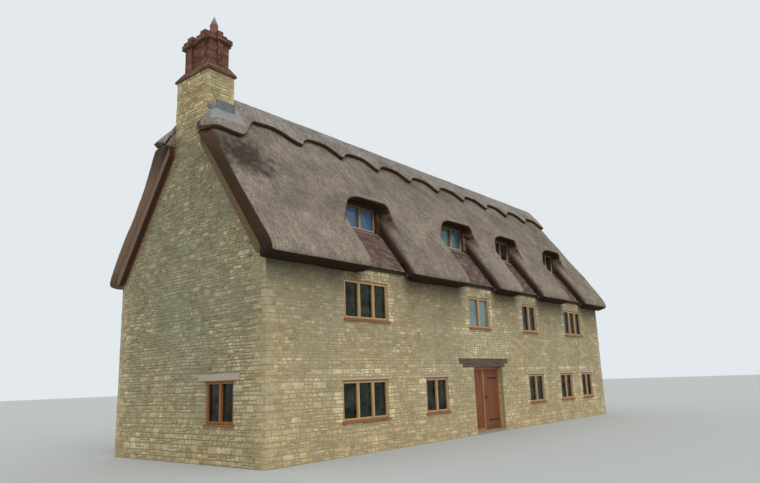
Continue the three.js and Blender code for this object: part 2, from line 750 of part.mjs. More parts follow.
function addWindowRow(label, row, front) {
  row.spans.forEach(([near, far, lights], i) => {
    const names = { frame: `${label}_window_${i + 1}`, glass: `${label}_glass_${i + 1}` };
    const y = front ? WINDOW_REVEAL : HOUSE_WIDTH - WINDOW_REVEAL;
    const centre = [(near + far) / 2, y, row.sill + GAP];
    addWindow(names, centre, far - near, row.head - row.sill, lights, front ? 0 : Math.PI);
  });
}

function addWindows() {
  addWindowRow("upper", UPPER, true);
  addWindowRow("lower", LOWER, true);
  addWindowRow("rear_upper", { ...UPPER, spans: REAR_SPANS }, false);
  addWindowRow("rear_lower", { ...LOWER, spans: REAR_SPANS }, false);
  const g = GABLE_WINDOW;
  addWindow(
    { frame: "gable_window", glass: "gable_glass" },
    [WINDOW_REVEAL, (g.near + g.far) / 2, g.sill + GAP],
    g.far - g.near, g.head - g.sill, g.lights, -Math.PI / 2,
  );
  DORMERS.forEach((dormer, i) => {
    const d = dormerSizes(dormer);
    const names = { frame: `dormer_window_${i + 1}`, glass: `dormer_glass_${i + 1}` };
    addWindow(names, [d.centre, d.window + FRAME_SET_BACK, d.sill + GAP], 2 * d.light, d.head - d.sill, 2, 0);
  });
}

// Doorway: oak lintel in two courses, frame with a boarded side panel, and the hinged door

function hingePlace() {
  const jambFace = DOORWAY.right - GAP - DOOR_JAMB;
  return { x: jambFace + PIN_OUT_X, y: DOOR_FRAME_FRONT + DOOR_FRAME_DEPTH + PIN_OUT_Y };
}

function addDoorway() {
  const lintel = [
    [LINTEL_LOWER.left, DOORWAY.head], [LINTEL_LOWER.right, DOORWAY.head],
    [LINTEL_LOWER.right, LINTEL.bottom], [LINTEL.right, LINTEL.bottom], [LINTEL.right, LINTEL.top],
    [LINTEL.left, LINTEL.top], [LINTEL.left, LINTEL.bottom], [LINTEL_LOWER.left, LINTEL.bottom],
  ];
  addPiece("door_lintel", frontPanel(lintel, -LINTEL.proud, WALL), OAK);

  const left = DOORWAY.left + GAP;
  const right = DOORWAY.right - GAP;
  const foot = GROUND_FLOOR_TOP + GAP;
  const top = DOORWAY.head - GAP;
  const frameBack = DOOR_FRAME_FRONT + DOOR_FRAME_DEPTH;
  const mullion = left + DOOR_JAMB + DOOR_PANEL_WIDTH;
  const hole = {
    left: mullion + DOOR_JAMB, right: right - DOOR_JAMB, foot: foot + DOOR_SILL, top: top - DOOR_HEAD,
  };
  const panelHole = rectangle(left + DOOR_JAMB, mullion, foot + DOOR_HEAD, hole.top);
  const doorHole = rectangle(hole.left, hole.right, hole.foot, hole.top);
  const pin = hingePlace();
  const outline = rectangle(left, right, foot, top);
  let frame = piercedPanel(frontPanel, outline, [panelHole, doorHole], DOOR_FRAME_FRONT, frameBack);
  const panelFront = DOOR_FRAME_FRONT + (DOOR_FRAME_DEPTH - DOOR_PANEL_DEPTH) / 2;
  frame = frame.add(solid(box(
    left + DOOR_JAMB - DOOR_PANEL_HOUSING, mullion + DOOR_PANEL_HOUSING,
    panelFront, panelFront + DOOR_PANEL_DEPTH,
    foot + DOOR_HEAD - DOOR_PANEL_HOUSING, hole.top + DOOR_PANEL_HOUSING,
  )));
  const bracket = PIN_BRACKET;
  for (const z of HINGE_HEIGHTS) {
    frame = frame.add(solid(box(
      pin.x - bracket.before, pin.x + bracket.after, frameBack - 1, pin.y + bracket.behind,
      z - bracket.height, z,
    )));
    frame = frame.add(solid(post(pin.x, pin.y, z - PIN_ROOT, z + EYE_HEIGHT + PIN_ABOVE_EYE, PIN_RADIUS)));
  }
  addPiece("door_frame", geometryOf(frame), DOOR_TIMBER);

  const leafBack = frameBack - DOOR_CLEARANCE;
  const leafLeft = hole.left + HINGE_SWING_CLEARANCE;
  const leafRight = hole.right - DOOR_CLEARANCE;
  let leaf = solid(box(
    leafLeft, leafRight, leafBack - DOOR_LEAF_DEPTH, leafBack,
    hole.foot + DOOR_CLEARANCE, hole.top - DOOR_CLEARANCE,
  ));
  for (const z of HINGE_HEIGHTS) {
    const low = z + GAP;
    const high = z + GAP + EYE_HEIGHT;
    leaf = leaf.add(solid(box(
      leafRight - STRAP_LENGTH, leafRight - STRAP_INSET, leafBack - 1, leafBack + STRAP_DEPTH, low, high,
    )));
    leaf = leaf.add(solid(box(
      leafRight - EYE_ARM.before, pin.x, pin.y - EYE_ARM.half, pin.y + EYE_ARM.half, low, high,
    )));
    leaf = leaf.add(solid(post(pin.x, pin.y, low, high, EYE_RADIUS)));
    leaf = leaf.subtract(solid(post(pin.x, pin.y, low - 1, high + 1, EYE_BORE)));
  }
  addPiece("front_door", geometryOf(leaf), DOOR_TIMBER);
}

addWalls();
addFloors();
addRoofFrames();
addThatch();
addRidgeCap();
addChimney();
addWindows();
addDoorway();

// The origin is the middle of the base
house.position.set(-(verge.near + verge.far) / 2, -HOUSE_WIDTH / 2, 0);
house.updateMatrixWorld(true);

const cottage = new THREE.Group();
cottage.add(house);

export default cottage;
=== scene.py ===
"""Looks of a long thatched stone cottage, built round its solids.

Places in the house are in metres: X runs along the front wall from its near corner, Y from the front wall
to the rear wall, and Z is the height above the ground. at() turns such a place into the row frame.
"""

import math
import random
from itertools import pairwise, product

import bmesh
import bpy
import numpy as np
from mathutils import Matrix, Vector, noise


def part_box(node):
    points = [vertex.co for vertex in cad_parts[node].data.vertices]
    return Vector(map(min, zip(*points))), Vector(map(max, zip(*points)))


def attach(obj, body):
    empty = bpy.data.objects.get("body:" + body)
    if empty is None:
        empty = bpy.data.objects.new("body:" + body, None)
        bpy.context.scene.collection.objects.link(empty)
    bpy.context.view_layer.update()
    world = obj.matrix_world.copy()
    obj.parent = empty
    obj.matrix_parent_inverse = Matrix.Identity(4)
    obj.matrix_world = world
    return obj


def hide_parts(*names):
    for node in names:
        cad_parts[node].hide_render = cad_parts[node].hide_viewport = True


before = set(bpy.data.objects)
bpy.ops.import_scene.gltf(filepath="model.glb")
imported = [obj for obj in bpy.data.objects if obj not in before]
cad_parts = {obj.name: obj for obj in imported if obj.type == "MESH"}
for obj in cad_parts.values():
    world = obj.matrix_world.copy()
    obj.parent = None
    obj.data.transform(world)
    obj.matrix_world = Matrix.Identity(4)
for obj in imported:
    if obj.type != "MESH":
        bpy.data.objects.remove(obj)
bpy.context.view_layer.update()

# Places that follow from the solids
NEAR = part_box("front_wall_left")[0]
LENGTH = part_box("front_wall_right")[1].x - NEAR.x
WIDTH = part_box("rear_wall")[1].y - NEAR.y
VERGE_NEAR, VERGE_FAR = (corner.x - NEAR.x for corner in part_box("thatch_front"))
STACK_FRONT, STACK_REAR = (corner.y - NEAR.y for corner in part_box("chimney_stack"))
STACK_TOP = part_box("chimney_stack")[1].z
STACK_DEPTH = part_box("chimney_stack")[1].x - NEAR.x

# Roof planes: height above the front wall face, and rise for each metre back
THATCH_FACE, THATCH_RISE = 5.271, 1.372
FRAME_FACE, FRAME_RISE = 4.619, 1.4
HEAD_FACE, HEAD_RISE = 4.288, 1.429
EAVE_SEAT = 4.45
PITCH = math.atan(THATCH_RISE)
RUN, LIFT = math.cos(PITCH), math.sin(PITCH)
RIDGE = WIDTH / 2

# Doorway lintel: ends of its lower course, and the joint between its two courses
LINTEL_LOWER = (7.56, 10.06)
LINTEL_STEP = 2.086

# Dormers: centre along the wall, face of the window, and half width of the valley below it
DORMERS = [(3.985, 0.76, 0.80), (8.658, 0.843, 0.86), (11.971, 0.843, 0.72), (15.815, 0.843, 0.72)]


def at(x, y, z):
    return Vector((NEAR.x + x, NEAR.y + y, z))


def link(name, data):
    """A new object in the scene."""
    made = bpy.data.objects.new(name, data)
    bpy.context.scene.collection.objects.link(made)
    return made


# Camera, from the photograph's vanishing points

CAMERA_PLACE = (-18.1425, -13.3324, 1.6844)
CAMERA_YAW = math.radians(50.788)
CAMERA_PITCH = math.radians(12.292)
CAMERA_ROLL = math.radians(-2.028)
FOCAL_PIXELS = 636.85
FRAME_PIXELS = 760
SENSOR = 36.0
SEEN_TO = 500


def make_camera():
    data = bpy.data.cameras.new("camera")
    data.sensor_width = SENSOR
    data.lens = FOCAL_PIXELS / FRAME_PIXELS * SENSOR
    data.clip_end = SEEN_TO
    camera = link("camera", data)
    level = Vector((math.cos(CAMERA_YAW), -math.sin(CAMERA_YAW), 0))
    ahead = Vector((math.sin(CAMERA_YAW), math.cos(CAMERA_YAW), 0)) * math.cos(CAMERA_PITCH)
    ahead.z = math.sin(CAMERA_PITCH)
    above = level.cross(ahead)
    right = math.cos(CAMERA_ROLL) * level + math.sin(CAMERA_ROLL) * above
    up = math.cos(CAMERA_ROLL) * above - math.sin(CAMERA_ROLL) * level
    matrix = Matrix((right, up, -ahead)).transposed().to_4x4()
    matrix.translation = Vector(CAMERA_PLACE)
    camera.matrix_world = matrix
    bpy.context.scene.camera = camera


make_camera()


# Materials

def rgb(red, green, blue):
    """A colour given as it looks on screen, 0 to 255, as linear numbers."""
    shares = [value / 255 for value in (red, green, blue)]
    return tuple(v / 12.92 if v <= 0.04045 else ((v + 0.055) / 1.055) ** 2.4 for v in shares) + (1.0,)


def lighter(colour, factor):
    return tuple(c * factor for c in colour[:3]) + (1.0,)


class Shade:
    """A material, with short ways to add its nodes."""

    def __init__(self, name, roughness, metallic=0.0, specular=0.5):
        self.material = bpy.data.materials.new(name)
        self.material.use_nodes = True
        self.tree = self.material.node_tree
        self.surface = self.tree.nodes["Principled BSDF"]
        values = {"Roughness": roughness, "Metallic": metallic, "Specular IOR Level": specular}
        for key, value in values.items():
            self.surface.inputs[key].default_value = value

    def put(self, socket, value):
        if isinstance(value, bpy.types.NodeSocket):
            self.tree.links.new(value, socket)
        else:
            socket.default_value = value

    def node(self, kind, values=(), **settings):
        made = self.tree.nodes.new(kind)
        for key, value in settings.items():
            setattr(made, key, value)
        for key, value in dict(values).items():
            self.put(made.inputs[key], value)
        return made

    def place(self, scale=(1, 1, 1), pitch=0.0):
        """Places on the object, laid level from a slope of the given pitch and then scaled."""
        place = self.node("ShaderNodeTexCoord").outputs["Object"]
        if pitch:
            place = self.node("ShaderNodeMapping", {"Vector": place, "Rotation": (-pitch, 0, 0)}).outputs[0]
        return self.node("ShaderNodeMapping", {"Vector": place, "Scale": scale}).outputs[0]

    def axis(self, index, vector=None):
        return self.node("ShaderNodeSeparateXYZ", {0: vector or self.place()}).outputs[index]

    def noise(self, scale, detail=4.0, roughness=0.55, place=None):
        values = {"Scale": scale, "Detail": detail, "Roughness": roughness, "Vector": place or self.place()}
        return self.node("ShaderNodeTexNoise", values).outputs["Fac"]

    def attribute(self, name):
        return self.node("ShaderNodeAttribute", attribute_name=name).outputs["Fac"]

    def reach(self, centre, size):
        """Distance from a place, as a share of a size along each axis."""
        kind = "ShaderNodeVectorMath"
        away = self.node(kind, {0: self.place(), 1: centre}, operation="SUBTRACT").outputs[0]
        scaled = self.node(kind, {0: away, 1: size}, operation="DIVIDE").outputs[0]
        return self.node(kind, {0: scaled}, operation="LENGTH").outputs[1]

    def span(self, value, low, high, to_low=0.0, to_high=1.0):
        values = {"Value": value, "From Min": low, "From Max": high, "To Min": to_low, "To Max": to_high}
        return self.node("ShaderNodeMapRange", values).outputs[0]

    def high_up(self, *span):
        return self.span(self.axis(2), *span)

    def patchy(self, scale, detail, roughness, *span):
        return self.span(self.noise(scale, detail, roughness), *span)

    def maths(self, operation, first, second=0.0):
        return self.node("ShaderNodeMath", {0: first, 1: second}, operation=operation).outputs[0]

    def times(self, first, *others):
        for other in others:
            first = self.maths("MULTIPLY", first, other)
        return first

    def outside(self, value, low, high):
        """How far a number is past the nearer of two limits."""
        below, above = self.maths("SUBTRACT", low, value), self.maths("SUBTRACT", value, high)
        return self.maths("MAXIMUM", below, above)

    def ramp(self, value, colours, places=(0.0, 0.5, 1.0)):
        made = self.node("ShaderNodeValToRGB", {"Fac": value})
        elements = made.color_ramp.elements
        while len(elements) < len(colours):
            elements.new(0.5)
        for element, colour, position in zip(elements, colours, places):
            element.position = position
            element.color = colour
        return made.outputs["Color"]

    def mix(self, share, first, second, blend="MIX"):
        made = self.node("ShaderNodeMix", data_type="RGBA", blend_type=blend)
        for key, value in (("Factor", share), ("A", first), ("B", second)):
            self.put(made.inputs[key], value)
        return [s for s in made.outputs if s.type == "RGBA"][0]

    def tinted(self, colour, shade):
        """A colour made lighter or darker by a number."""
        grey = self.node("ShaderNodeCombineColor", {0: shade, 1: shade, 2: shade}).outputs[0]
        return self.mix(1.0, colour, grey, "MULTIPLY")

    def colour(self, value):
        self.put(self.surface.inputs["Base Color"], value)

    def bump(self, height, distance, strength=1.0, before=None):
        values = {"Height": height, "Distance": distance, "Strength": strength}
        if before is not None:
            values["Normal"] = before
        normal = self.node("ShaderNodeBump", values).outputs[0]
        self.put(self.surface.inputs["Normal"], normal)
        return normal


def painted_eave_shadow(s):
    """Painted shadow of the eaves: darkens masonry just below them, less where a valley leaves the thatch
    open and less on faces turned away from the front and rear.
    """
    dark = s.times(s.high_up(3.0, 3.9, 1.0, 0.74), s.high_up(3.8, 4.3, 1.0, 0.42))
    open_share = 0.0
    for centre, _, half in DORMERS:
        away = s.maths("ABSOLUTE", s.maths("SUBTRACT", s.axis(0), NEAR.x + centre))
        open_share = s.maths("MAXIMUM", s.span(away, half - 0.1, half + 0.25, 0.7, 0.0), open_share)
    facing = s.maths("ABSOLUTE", s.axis(1, s.node("ShaderNodeNewGeometry").outputs["Normal"]))
    open_share = s.maths("MAXIMUM", open_share, s.span(facing, 0.3, 0.6, 1.0, 0.0))
    return s.maths("ADD", dark, s.times(s.maths("SUBTRACT", 1.0, dark), open_share))


def stone_material(name, tones, warm, grey, high_shade, eaves=False, clean=None, upper=None):
    """Rubble: each stone has a tone of its own, warmer low on the wall, under weathering and fine pits."""
    s = Shade(name, 0.93, specular=0.2)
    tone = s.attribute("tone")
    other = s.maths("FRACT", s.times(tone, 17.3))
    warmed = s.times(s.span(other, 0, 1, 0.25, 0.75), s.high_up(3.2, 0.4, 0.12, 0.95))
    greyed = s.times(s.patchy(0.6, 4.0, 0.6, 0.4, 0.62, 0.0, 0.7), s.high_up(0.5, 3.0, 0.3, 1.0))
    base = s.mix(greyed, s.mix(warmed, s.ramp(tone, tones), warm), grey)
    by_height = s.high_up(7.5, 1.0, high_shade, 1.06)
    if upper:
        above_roof = s.high_up(7.6, 8.6)
        base = s.mix(above_roof, base, s.ramp(tone, upper))
        by_height = s.maths("ADD", by_height, s.times(above_roof, UPPER_SHADE - high_shade))
    streaked = s.noise(1.0, 5.0, 0.75, s.place((2.2, 2.2, 9.0)))
    shade = s.times(
        s.patchy(1.3, 6.0, 0.7, 0.34, 0.66, 0.86, 1.18), s.span(streaked, 0.32, 0.68, 0.78, 1.26),
        s.patchy(8.0, 8.0, 0.8, 0.3, 0.7, 0.72, 1.3), s.patchy(30.0, 5.0, 0.8, 0.3, 0.46, 0.62, 1.06),
        s.span(tone, 0.7, 1.4, 1.0, 1.26), by_height,
    )
    # painted shade: the shadow of the eaves on the top of the wall
    if eaves:
        shade = s.times(shade, painted_eave_shadow(s))
    if clean:
        shade = s.times(shade, s.span(s.reach(*clean), 1.3, 0.5, 1.0, 1.34))
    s.colour(s.tinted(base, shade))
    rough = s.bump(s.noise(14.0, 6.0, 0.7), 0.02, 0.7)
    s.bump(s.noise(70.0, 6.0, 0.75), 0.005, 0.7, rough)
    return s.material


def mortar_material(name, tint, eaves=False):
    s = Shade(name, 0.95, specular=0.2)
    grain = s.noise(16.0, 8.0, 0.8)
    mixed = s.ramp(grain, (lighter(tint, 0.7), tint), (0.3, 0.7))
    mixed = s.mix(s.noise(0.9, 3.0), mixed, lighter(tint, 1.25))
    # with eaves, painted shadow of the eaves darkens the top of the wall
    s.colour(s.tinted(mixed, painted_eave_shadow(s)) if eaves else mixed)
    s.bump(grain, 0.004, 0.7)
    return s.material


def thatch_material(name, pitch, light, dark, ends, strands, damp=None, speckled=0.3, painted_light_on_high_ends=1.0):
    """Combed reed down the slope. The attribute cut marks cut ends, at verges and under the eaves; the last
    argument is painted light and shade on them near the ridge.
    """
    s = Shade(name, 0.95, specular=0.12)
    fine = s.noise(1.0, 6.0, 0.7, s.place((strands, 4.5, strands), pitch))
    broad = s.noise(1.0, 4.0, 0.6, s.place((5.0, 0.8, 5.0), pitch))
    mottle = s.noise(1.0, 5.0, 0.75, s.place((9.0, 3.5, 9.0), pitch))
    speckle = s.noise(17.0, 8.0, 0.85)
    reed = s.mix(s.span(fine, 0.32, 0.68), dark, light)
    reed = s.mix(s.span(broad, 0.35, 0.7, 0.0, 0.5), reed, THATCH_STREAK)
    reed = s.mix(s.patchy(0.7, 6.0, 0.65, 0.45, 0.66, 0.0, 0.6), reed, THATCH_WEATHERED)
    if damp:
        centre, size, share = damp
        ragged = s.maths("ADD", s.reach(centre, size), s.patchy(3.5, 6.0, 0.75, 0.35, 0.65, 0.4, -0.45))
        reed = s.mix(s.span(ragged, 1.1, 0.3, 0.0, share), reed, THATCH_DAMP)
    reed = s.tinted(reed, s.times(
        s.span(speckle, 0.4, 0.6, 1.0 - speckled, 1.0 + speckled), s.span(mottle, 0.34, 0.66, 0.8, 1.2),
        s.patchy(1.5, 3.0, 0.6, 0.35, 0.65, 0.86, 1.14), s.high_up(4.8, 7.6, 1.1, 0.95),
    ))
    tips = s.noise(90.0, 3.0, 0.8)
    # painted light and shade on the cut ends near the ridge: lighter above 1, darker below 1
    cut = s.tinted(s.ramp(tips, ends[::-1], (0.35, 0.65)), s.high_up(6.9, 7.7, 1.0, painted_light_on_high_ends))
    # painted shade: cut ends darker low down, under the eaves
    cut = s.tinted(cut, s.high_up(4.5, 4.9, 0.6, 1.0))
    cheek_and_shade = s.attribute("cheek_and_shade")
    reed = s.mix(s.span(cheek_and_shade, 0.0, 0.5), reed, s.ramp(tips, (THATCH_CHEEK_DARK, THATCH_CHEEK), (0.3, 0.7)))
    # painted shade: the hood's underside and the valley sides
    for start, end in ((0.5, 1.0), (0.0, -1.0)):
        reed = s.mix(s.span(cheek_and_shade, start, end), reed, THATCH_PAINTED_SHADE)
    s.colour(s.mix(s.span(s.attribute("cut"), 0.34, 0.66), reed, cut))
    normal = s.bump(broad, 0.03, 0.6)
    normal = s.bump(fine, 0.014, 0.9, normal)
    s.bump(speckle, 0.012, 0.6, normal)
    return s.material


def timber_material(name, light, dark, along=2, roughness=0.6, bump=0.002, painted_shade_between=None):
    """Grain along an axis: 0 for X, 1 for Y, 2 for Z. The last argument gives two heights between which
    painted shade darkens it.
    """
    s = Shade(name, roughness, specular=0.3)
    scale = [28.0, 28.0, 28.0]
    scale[along] = 1.6
    grain = s.noise(1.0, 5.0, 0.6, s.place(scale))
    base = s.ramp(grain, (dark, light), (0.3, 0.62))
    base = s.mix(s.patchy(1.3, 2.0, 0.55, 0.4, 0.75, 0.0, 0.6), base, lighter(light, 0.72))
    # painted shade between two heights
    s.colour(s.tinted(base, s.high_up(*painted_shade_between, 1.0, 0.34)) if painted_shade_between else base)
    s.bump(grain, bump, 0.6)
    return s.material


def roof_timber_material(name, side, board, under, end):
    """The rafter layer: its side, a board beside the wall, its overhanging underside, and its end."""
    s = Shade(name, 0.75, specular=0.2)
    beyond = s.outside(s.axis(0), NEAR.x, NEAR.x + LENGTH)
    grain = s.noise(1.0, 5.0, 0.65, s.place((30.0, 3.0, 30.0)))
    colour = side
    for start, next_colour in ((0.002, board), (BOARD_BESIDE_WALL, under), (-VERGE_NEAR - 0.03, end)):
        colour = s.mix(s.maths("GREATER_THAN", beyond, start), colour, next_colour)
    # painted shade: the rafter layer's faces in front of the front wall, under the eaves
    in_front = s.outside(s.axis(1), NEAR.y, NEAR.y + WIDTH)
    colour = s.mix(s.maths("GREATER_THAN", in_front, 0.002), colour, EAVE_PAINTED_SHADE)
    s.colour(s.tinted(colour, s.span(grain, 0.3, 0.7, 0.7, 1.15)))
    s.bump(grain, 0.003, 0.6)
    return s.material


def brick_material(name, *tones):
    s = Shade(name, 0.9, specular=0.2)
    shade = s.times(
        s.patchy(40.0, 6.0, 0.7, 0.3, 0.7, 0.78, 1.12), s.patchy(2.2, 4.0, 0.6, 0.3, 0.7, 0.8, 1.15),
    )
    s.colour(s.tinted(s.ramp(s.attribute("tone"), tones), shade))
    s.bump(s.noise(60.0, 5.0, 0.7), 0.004, 0.6)
    return s.material


def glass_material(name, tint, depth, specular=0.35, spread=1.2):
    s = Shade(name, 0.03, specular=specular)
    # painted reflection: patches of the tint and of a darker copy of it
    painted_reflection = s.noise(spread, 3.0, place=s.place((1.0, 1.0, 1.6)))
    s.colour(s.ramp(painted_reflection, (lighter(tint, depth), tint), (0.35, 0.68)))
    s.bump(s.noise(2.0, 1.0), 0.004, 0.15)
    return s.material


def metal_material(name, tint, roughness, metallic):
    s = Shade(name, roughness, metallic)
    patches = s.noise(5.0, 5.0, 0.65)
    s.colour(s.ramp(patches, (lighter(tint, 0.6), tint), (0.3, 0.7)))
    s.bump(patches, 0.006, 0.4)
    return s.material


UPPER_SHADE = 0.91
STONE_GREY = rgb(154, 149, 124)
ABOVE_DOOR = at(8.9, 0.0, 2.9), (1.7, 1.0, 0.85)
STONE_FRONT = stone_material(
    "front_stone", (rgb(148, 134, 103), rgb(172, 156, 122), rgb(200, 184, 150)), rgb(200, 175, 130),
    STONE_GREY, 0.86, True, ABOVE_DOOR,
)
STONE_CORNER = stone_material(
    "corner_stone", (rgb(160, 146, 114), rgb(174, 159, 126), rgb(188, 173, 141)), rgb(194, 170, 124),
    STONE_GREY, 0.86, True,
)
STONE_GABLE = stone_material(
    "gable_stone", (rgb(134, 124, 96), rgb(164, 153, 122), rgb(200, 189, 157)), rgb(196, 169, 124),
    rgb(146, 144, 121), 0.74, upper=(rgb(170, 150, 106), rgb(192, 170, 126), rgb(212, 192, 148)),
)
STONE_STACK = stone_material(
    "stack_stone", (rgb(166, 148, 106), rgb(188, 168, 126), rgb(208, 190, 148)), rgb(196, 174, 126),
    rgb(168, 156, 120), 0.95,
)
MORTAR_FRONT = mortar_material("front_mortar", rgb(166, 150, 116), True)
MORTAR_GABLE = mortar_material("gable_mortar", rgb(150, 140, 110))
LINTEL_STONE = mortar_material("lintel_stone", rgb(180, 164, 145))
THATCH_STREAK = rgb(150, 136, 121)
THATCH_WEATHERED = rgb(104, 92, 80)
THATCH_DAMP = rgb(68, 58, 50)
# The last colour is painted shade, for the hoods' undersides and the valley sides.
THATCH_CHEEK, THATCH_CHEEK_DARK, THATCH_PAINTED_SHADE = rgb(128, 100, 76), rgb(90, 68, 50), rgb(62, 46, 36)
REED = rgb(156, 142, 127), rgb(104, 92, 79)
DAMP_PATCH = at(0.42, 1.38, 7.16), (1.15, 0.78, 0.98), 0.95
# The front's cut ends are painted shade, darker than the rear's, which are painted light; near the ridge the
# front's are lightened and the rear's darkened, as painted light and shade.
THATCH_FRONT = thatch_material(
    "front_thatch", PITCH, *REED, (rgb(84, 65, 48), rgb(42, 31, 22)), 42.0, DAMP_PATCH, painted_light_on_high_ends=1.7,
)
THATCH_REAR = thatch_material(
    "rear_thatch", -PITCH, *REED, (rgb(144, 118, 98), rgb(98, 76, 60)), 42.0, painted_light_on_high_ends=0.4,
)
# The cap's dark brown cut colours are partly cut reed and partly painted shade under its lip and on its ends.
RIDGE_THATCH = thatch_material(
    "ridge_thatch", PITCH, rgb(176, 168, 158), rgb(104, 96, 88), (rgb(96, 78, 60), rgb(54, 41, 31)), 60.0,
    speckled=0.42,
)
# painted shade under the eaves
EAVE_PAINTED_SHADE = rgb(62, 48, 35)
BOARD_BESIDE_WALL = 0.035
# The front's side and end colours are darker than the rear's as painted shade, for the casings under the
# dormer hoods; the dark undersides of both are partly painted shade.
FRAME_FRONT = roof_timber_material(
    "front_roof_timber", rgb(70, 48, 32), rgb(116, 88, 60), rgb(74, 54, 38), rgb(112, 88, 60),
)
FRAME_REAR = roof_timber_material(
    "rear_roof_timber", rgb(132, 82, 48), rgb(158, 84, 44), rgb(78, 58, 42), rgb(126, 100, 82),
)
# painted shade under the dormer hoods, for the dormer frames and sashes
PAINTED_HOOD_SHADE = (6.0, 6.3)
WINDOW_FRAME = timber_material("window_frame", rgb(182, 134, 84), rgb(138, 92, 54))
SASH = timber_material("window_sash", rgb(204, 168, 122), rgb(170, 128, 86))
GABLE_SASH = timber_material("gable_sash", rgb(164, 108, 62), rgb(130, 78, 40))
DORMER_FRAME = timber_material("dormer_frame", rgb(164, 98, 54), rgb(116, 64, 34), painted_shade_between=PAINTED_HOOD_SHADE)
DORMER_SASH = timber_material("dormer_sash", rgb(196, 166, 134), rgb(162, 126, 94), painted_shade_between=PAINTED_HOOD_SHADE)
SILL_TIMBER = timber_material("sill_timber", rgb(162, 110, 72), rgb(112, 72, 46), 0)
DOOR_BOARDS = timber_material("door_boards", rgb(142, 84, 56), rgb(98, 54, 34))
FLOOR_TIMBER = timber_material("floor_timber", rgb(140, 112, 82), rgb(100, 76, 52), 0)
OAK = timber_material("oak", rgb(112, 96, 78), rgb(58, 46, 35), 0, 0.85, 0.012)
BRICK = brick_material("brick", rgb(84, 56, 45), rgb(118, 77, 61), rgb(148, 100, 80))
BRICK_MORTAR = mortar_material("brick_mortar", rgb(104, 84, 70))
BRICK_BASE = brick_material("base_brick", rgb(82, 57, 44), rgb(114, 81, 63), rgb(136, 101, 80))
CLAY = brick_material("clay", rgb(148, 92, 84), rgb(164, 106, 97), rgb(178, 122, 112))
APRON_TILE = brick_material("apron_tile", rgb(96, 76, 68), rgb(116, 94, 85), rgb(136, 113, 103))
SLAB = mortar_material("floor_slab", rgb(150, 144, 130))
LEAD = metal_material("lead", rgb(154, 156, 156), 0.6, 0.2)
DORMER_LEAD = metal_material("dormer_lead", rgb(136, 132, 126), 0.65, 0.1)
LEAD_DARK = metal_material("lead_dark", rgb(116, 120, 124), 0.55, 0.25)
FILLET = mortar_material("fillet", rgb(150, 143, 131))
COWL = metal_material("cowl", rgb(148, 156, 162), 0.5, 0.3)
IRON = metal_material("iron", rgb(52, 50, 48), 0.5, 0.6)
# Glass is opaque. The dark glass stands for the unlit rooms behind, as painted shade; the blue, pale and teal
# glass are painted reflections of the sky.
GLASS_DARK = glass_material("dark_glass", rgb(56, 62, 50), 0.1, 0.16, 2.6)
GLASS_PAINTED_SKY = glass_material("painted_sky_glass", rgb(92, 124, 154), 0.75)
GLASS_PALE = glass_material("pale_glass", rgb(124, 144, 138), 0.7)
GLASS_TEAL = glass_material("teal_glass", rgb(84, 120, 122), 0.35)


# Meshes

CORNERS = list(product((0, 1), repeat=3))
SLAB_ROUNDED = 1.4


def noisy(*place):
    return noise.noise(Vector(place))


def clamped(value):
    return min(1.0, max(0.0, value))


def around(count):
    """The neighbours in a ring, pair by pair."""
    return [(i, (i + 1) % count) for i in range(count)]


def paint(material, *nodes):
    for node in nodes:
        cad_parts[node].data.materials[0] = material


def write_share(mesh, name, values):
    mesh.attributes.new(name, "FLOAT", "POINT").data.foreach_set("value", values)


class Soup:
    """Closed solids gathered into one mesh, each with a tone of its own."""

    def __init__(self):
        self.points, self.faces, self.tones = [], [], []

    def add(self, points, faces, tone):
        base = len(self.points)
        self.points.extend(points)
        self.faces.extend(tuple(base + i for i in face) for face in faces)
        self.tones.extend([tone] * len(points))

    def mesh(self, name):
        made = bpy.data.meshes.new(name)
        made.from_pydata(self.points, [], self.faces)
        return made

    def piece(self, name, material, slot, body="house"):
        mesh = self.mesh(name)
        write_share(mesh, "tone", self.tones)
        show(name, mesh, material, body)


def show(name, mesh, material, body="house"):
    mesh.materials.clear()
    mesh.materials.append(material)
    made = link(name, mesh)
    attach(made, body)
    return made


def block_points(low, high, bevel):
    """Three points at each corner of a box, one on each side that meets there, drawn in from the edges."""
    cut = [min(bevel, 0.3 * side) for side in high - low]
    return [
        Vector([
            high[a] - (a != flat) * cut[a] if corner[a] else low[a] + (a != flat) * cut[a] for a in range(3)
        ])
        for corner in CORNERS for flat in range(3)
    ]


def block_faces():
    """Faces of a box with bevelled edges, outwards: its sides, then its edges and its corners."""
    def number(corner, *turned):
        return 3 * CORNERS.index(tuple(1 - c if i in turned else c for i, c in enumerate(corner)))

    faces = []
    for axis in range(3):
        one, two = [a for a in range(3) if a != axis]
        for side in (0, 1):
            start = tuple(side if a == axis else 0 for a in range(3))
            faces.append([number(start, *turned) + axis for turned in ((), (one,), (one, two), (two,))])
        for corner in CORNERS:
            if not corner[axis]:
                start, end = number(corner), number(corner, axis)
                faces.append([start + one, end + one, end + two, start + two])
    faces += [[3 * i, 3 * i + 1, 3 * i + 2] for i in range(8)]
    points = block_points(Vector((0, 0, 0)), Vector((1, 1, 1)), 0.2)
    outward = []
    for face in faces:
        a, b, c = (points[i] for i in face[:3])
        outwards = (b - a).cross(c - a).dot(a - Vector((0.5, 0.5, 0.5))) > 0
        outward.append(face if outwards else face[::-1])
    return outward


BLOCK_FACES = block_faces()


def add_block(soup, low, high, bevel=0.004, tone=0.5, place=at):
    ordered = Vector(map(min, low, high)), Vector(map(max, low, high))
    soup.add([place(*p) for p in block_points(*ordered, bevel)], BLOCK_FACES, tone)


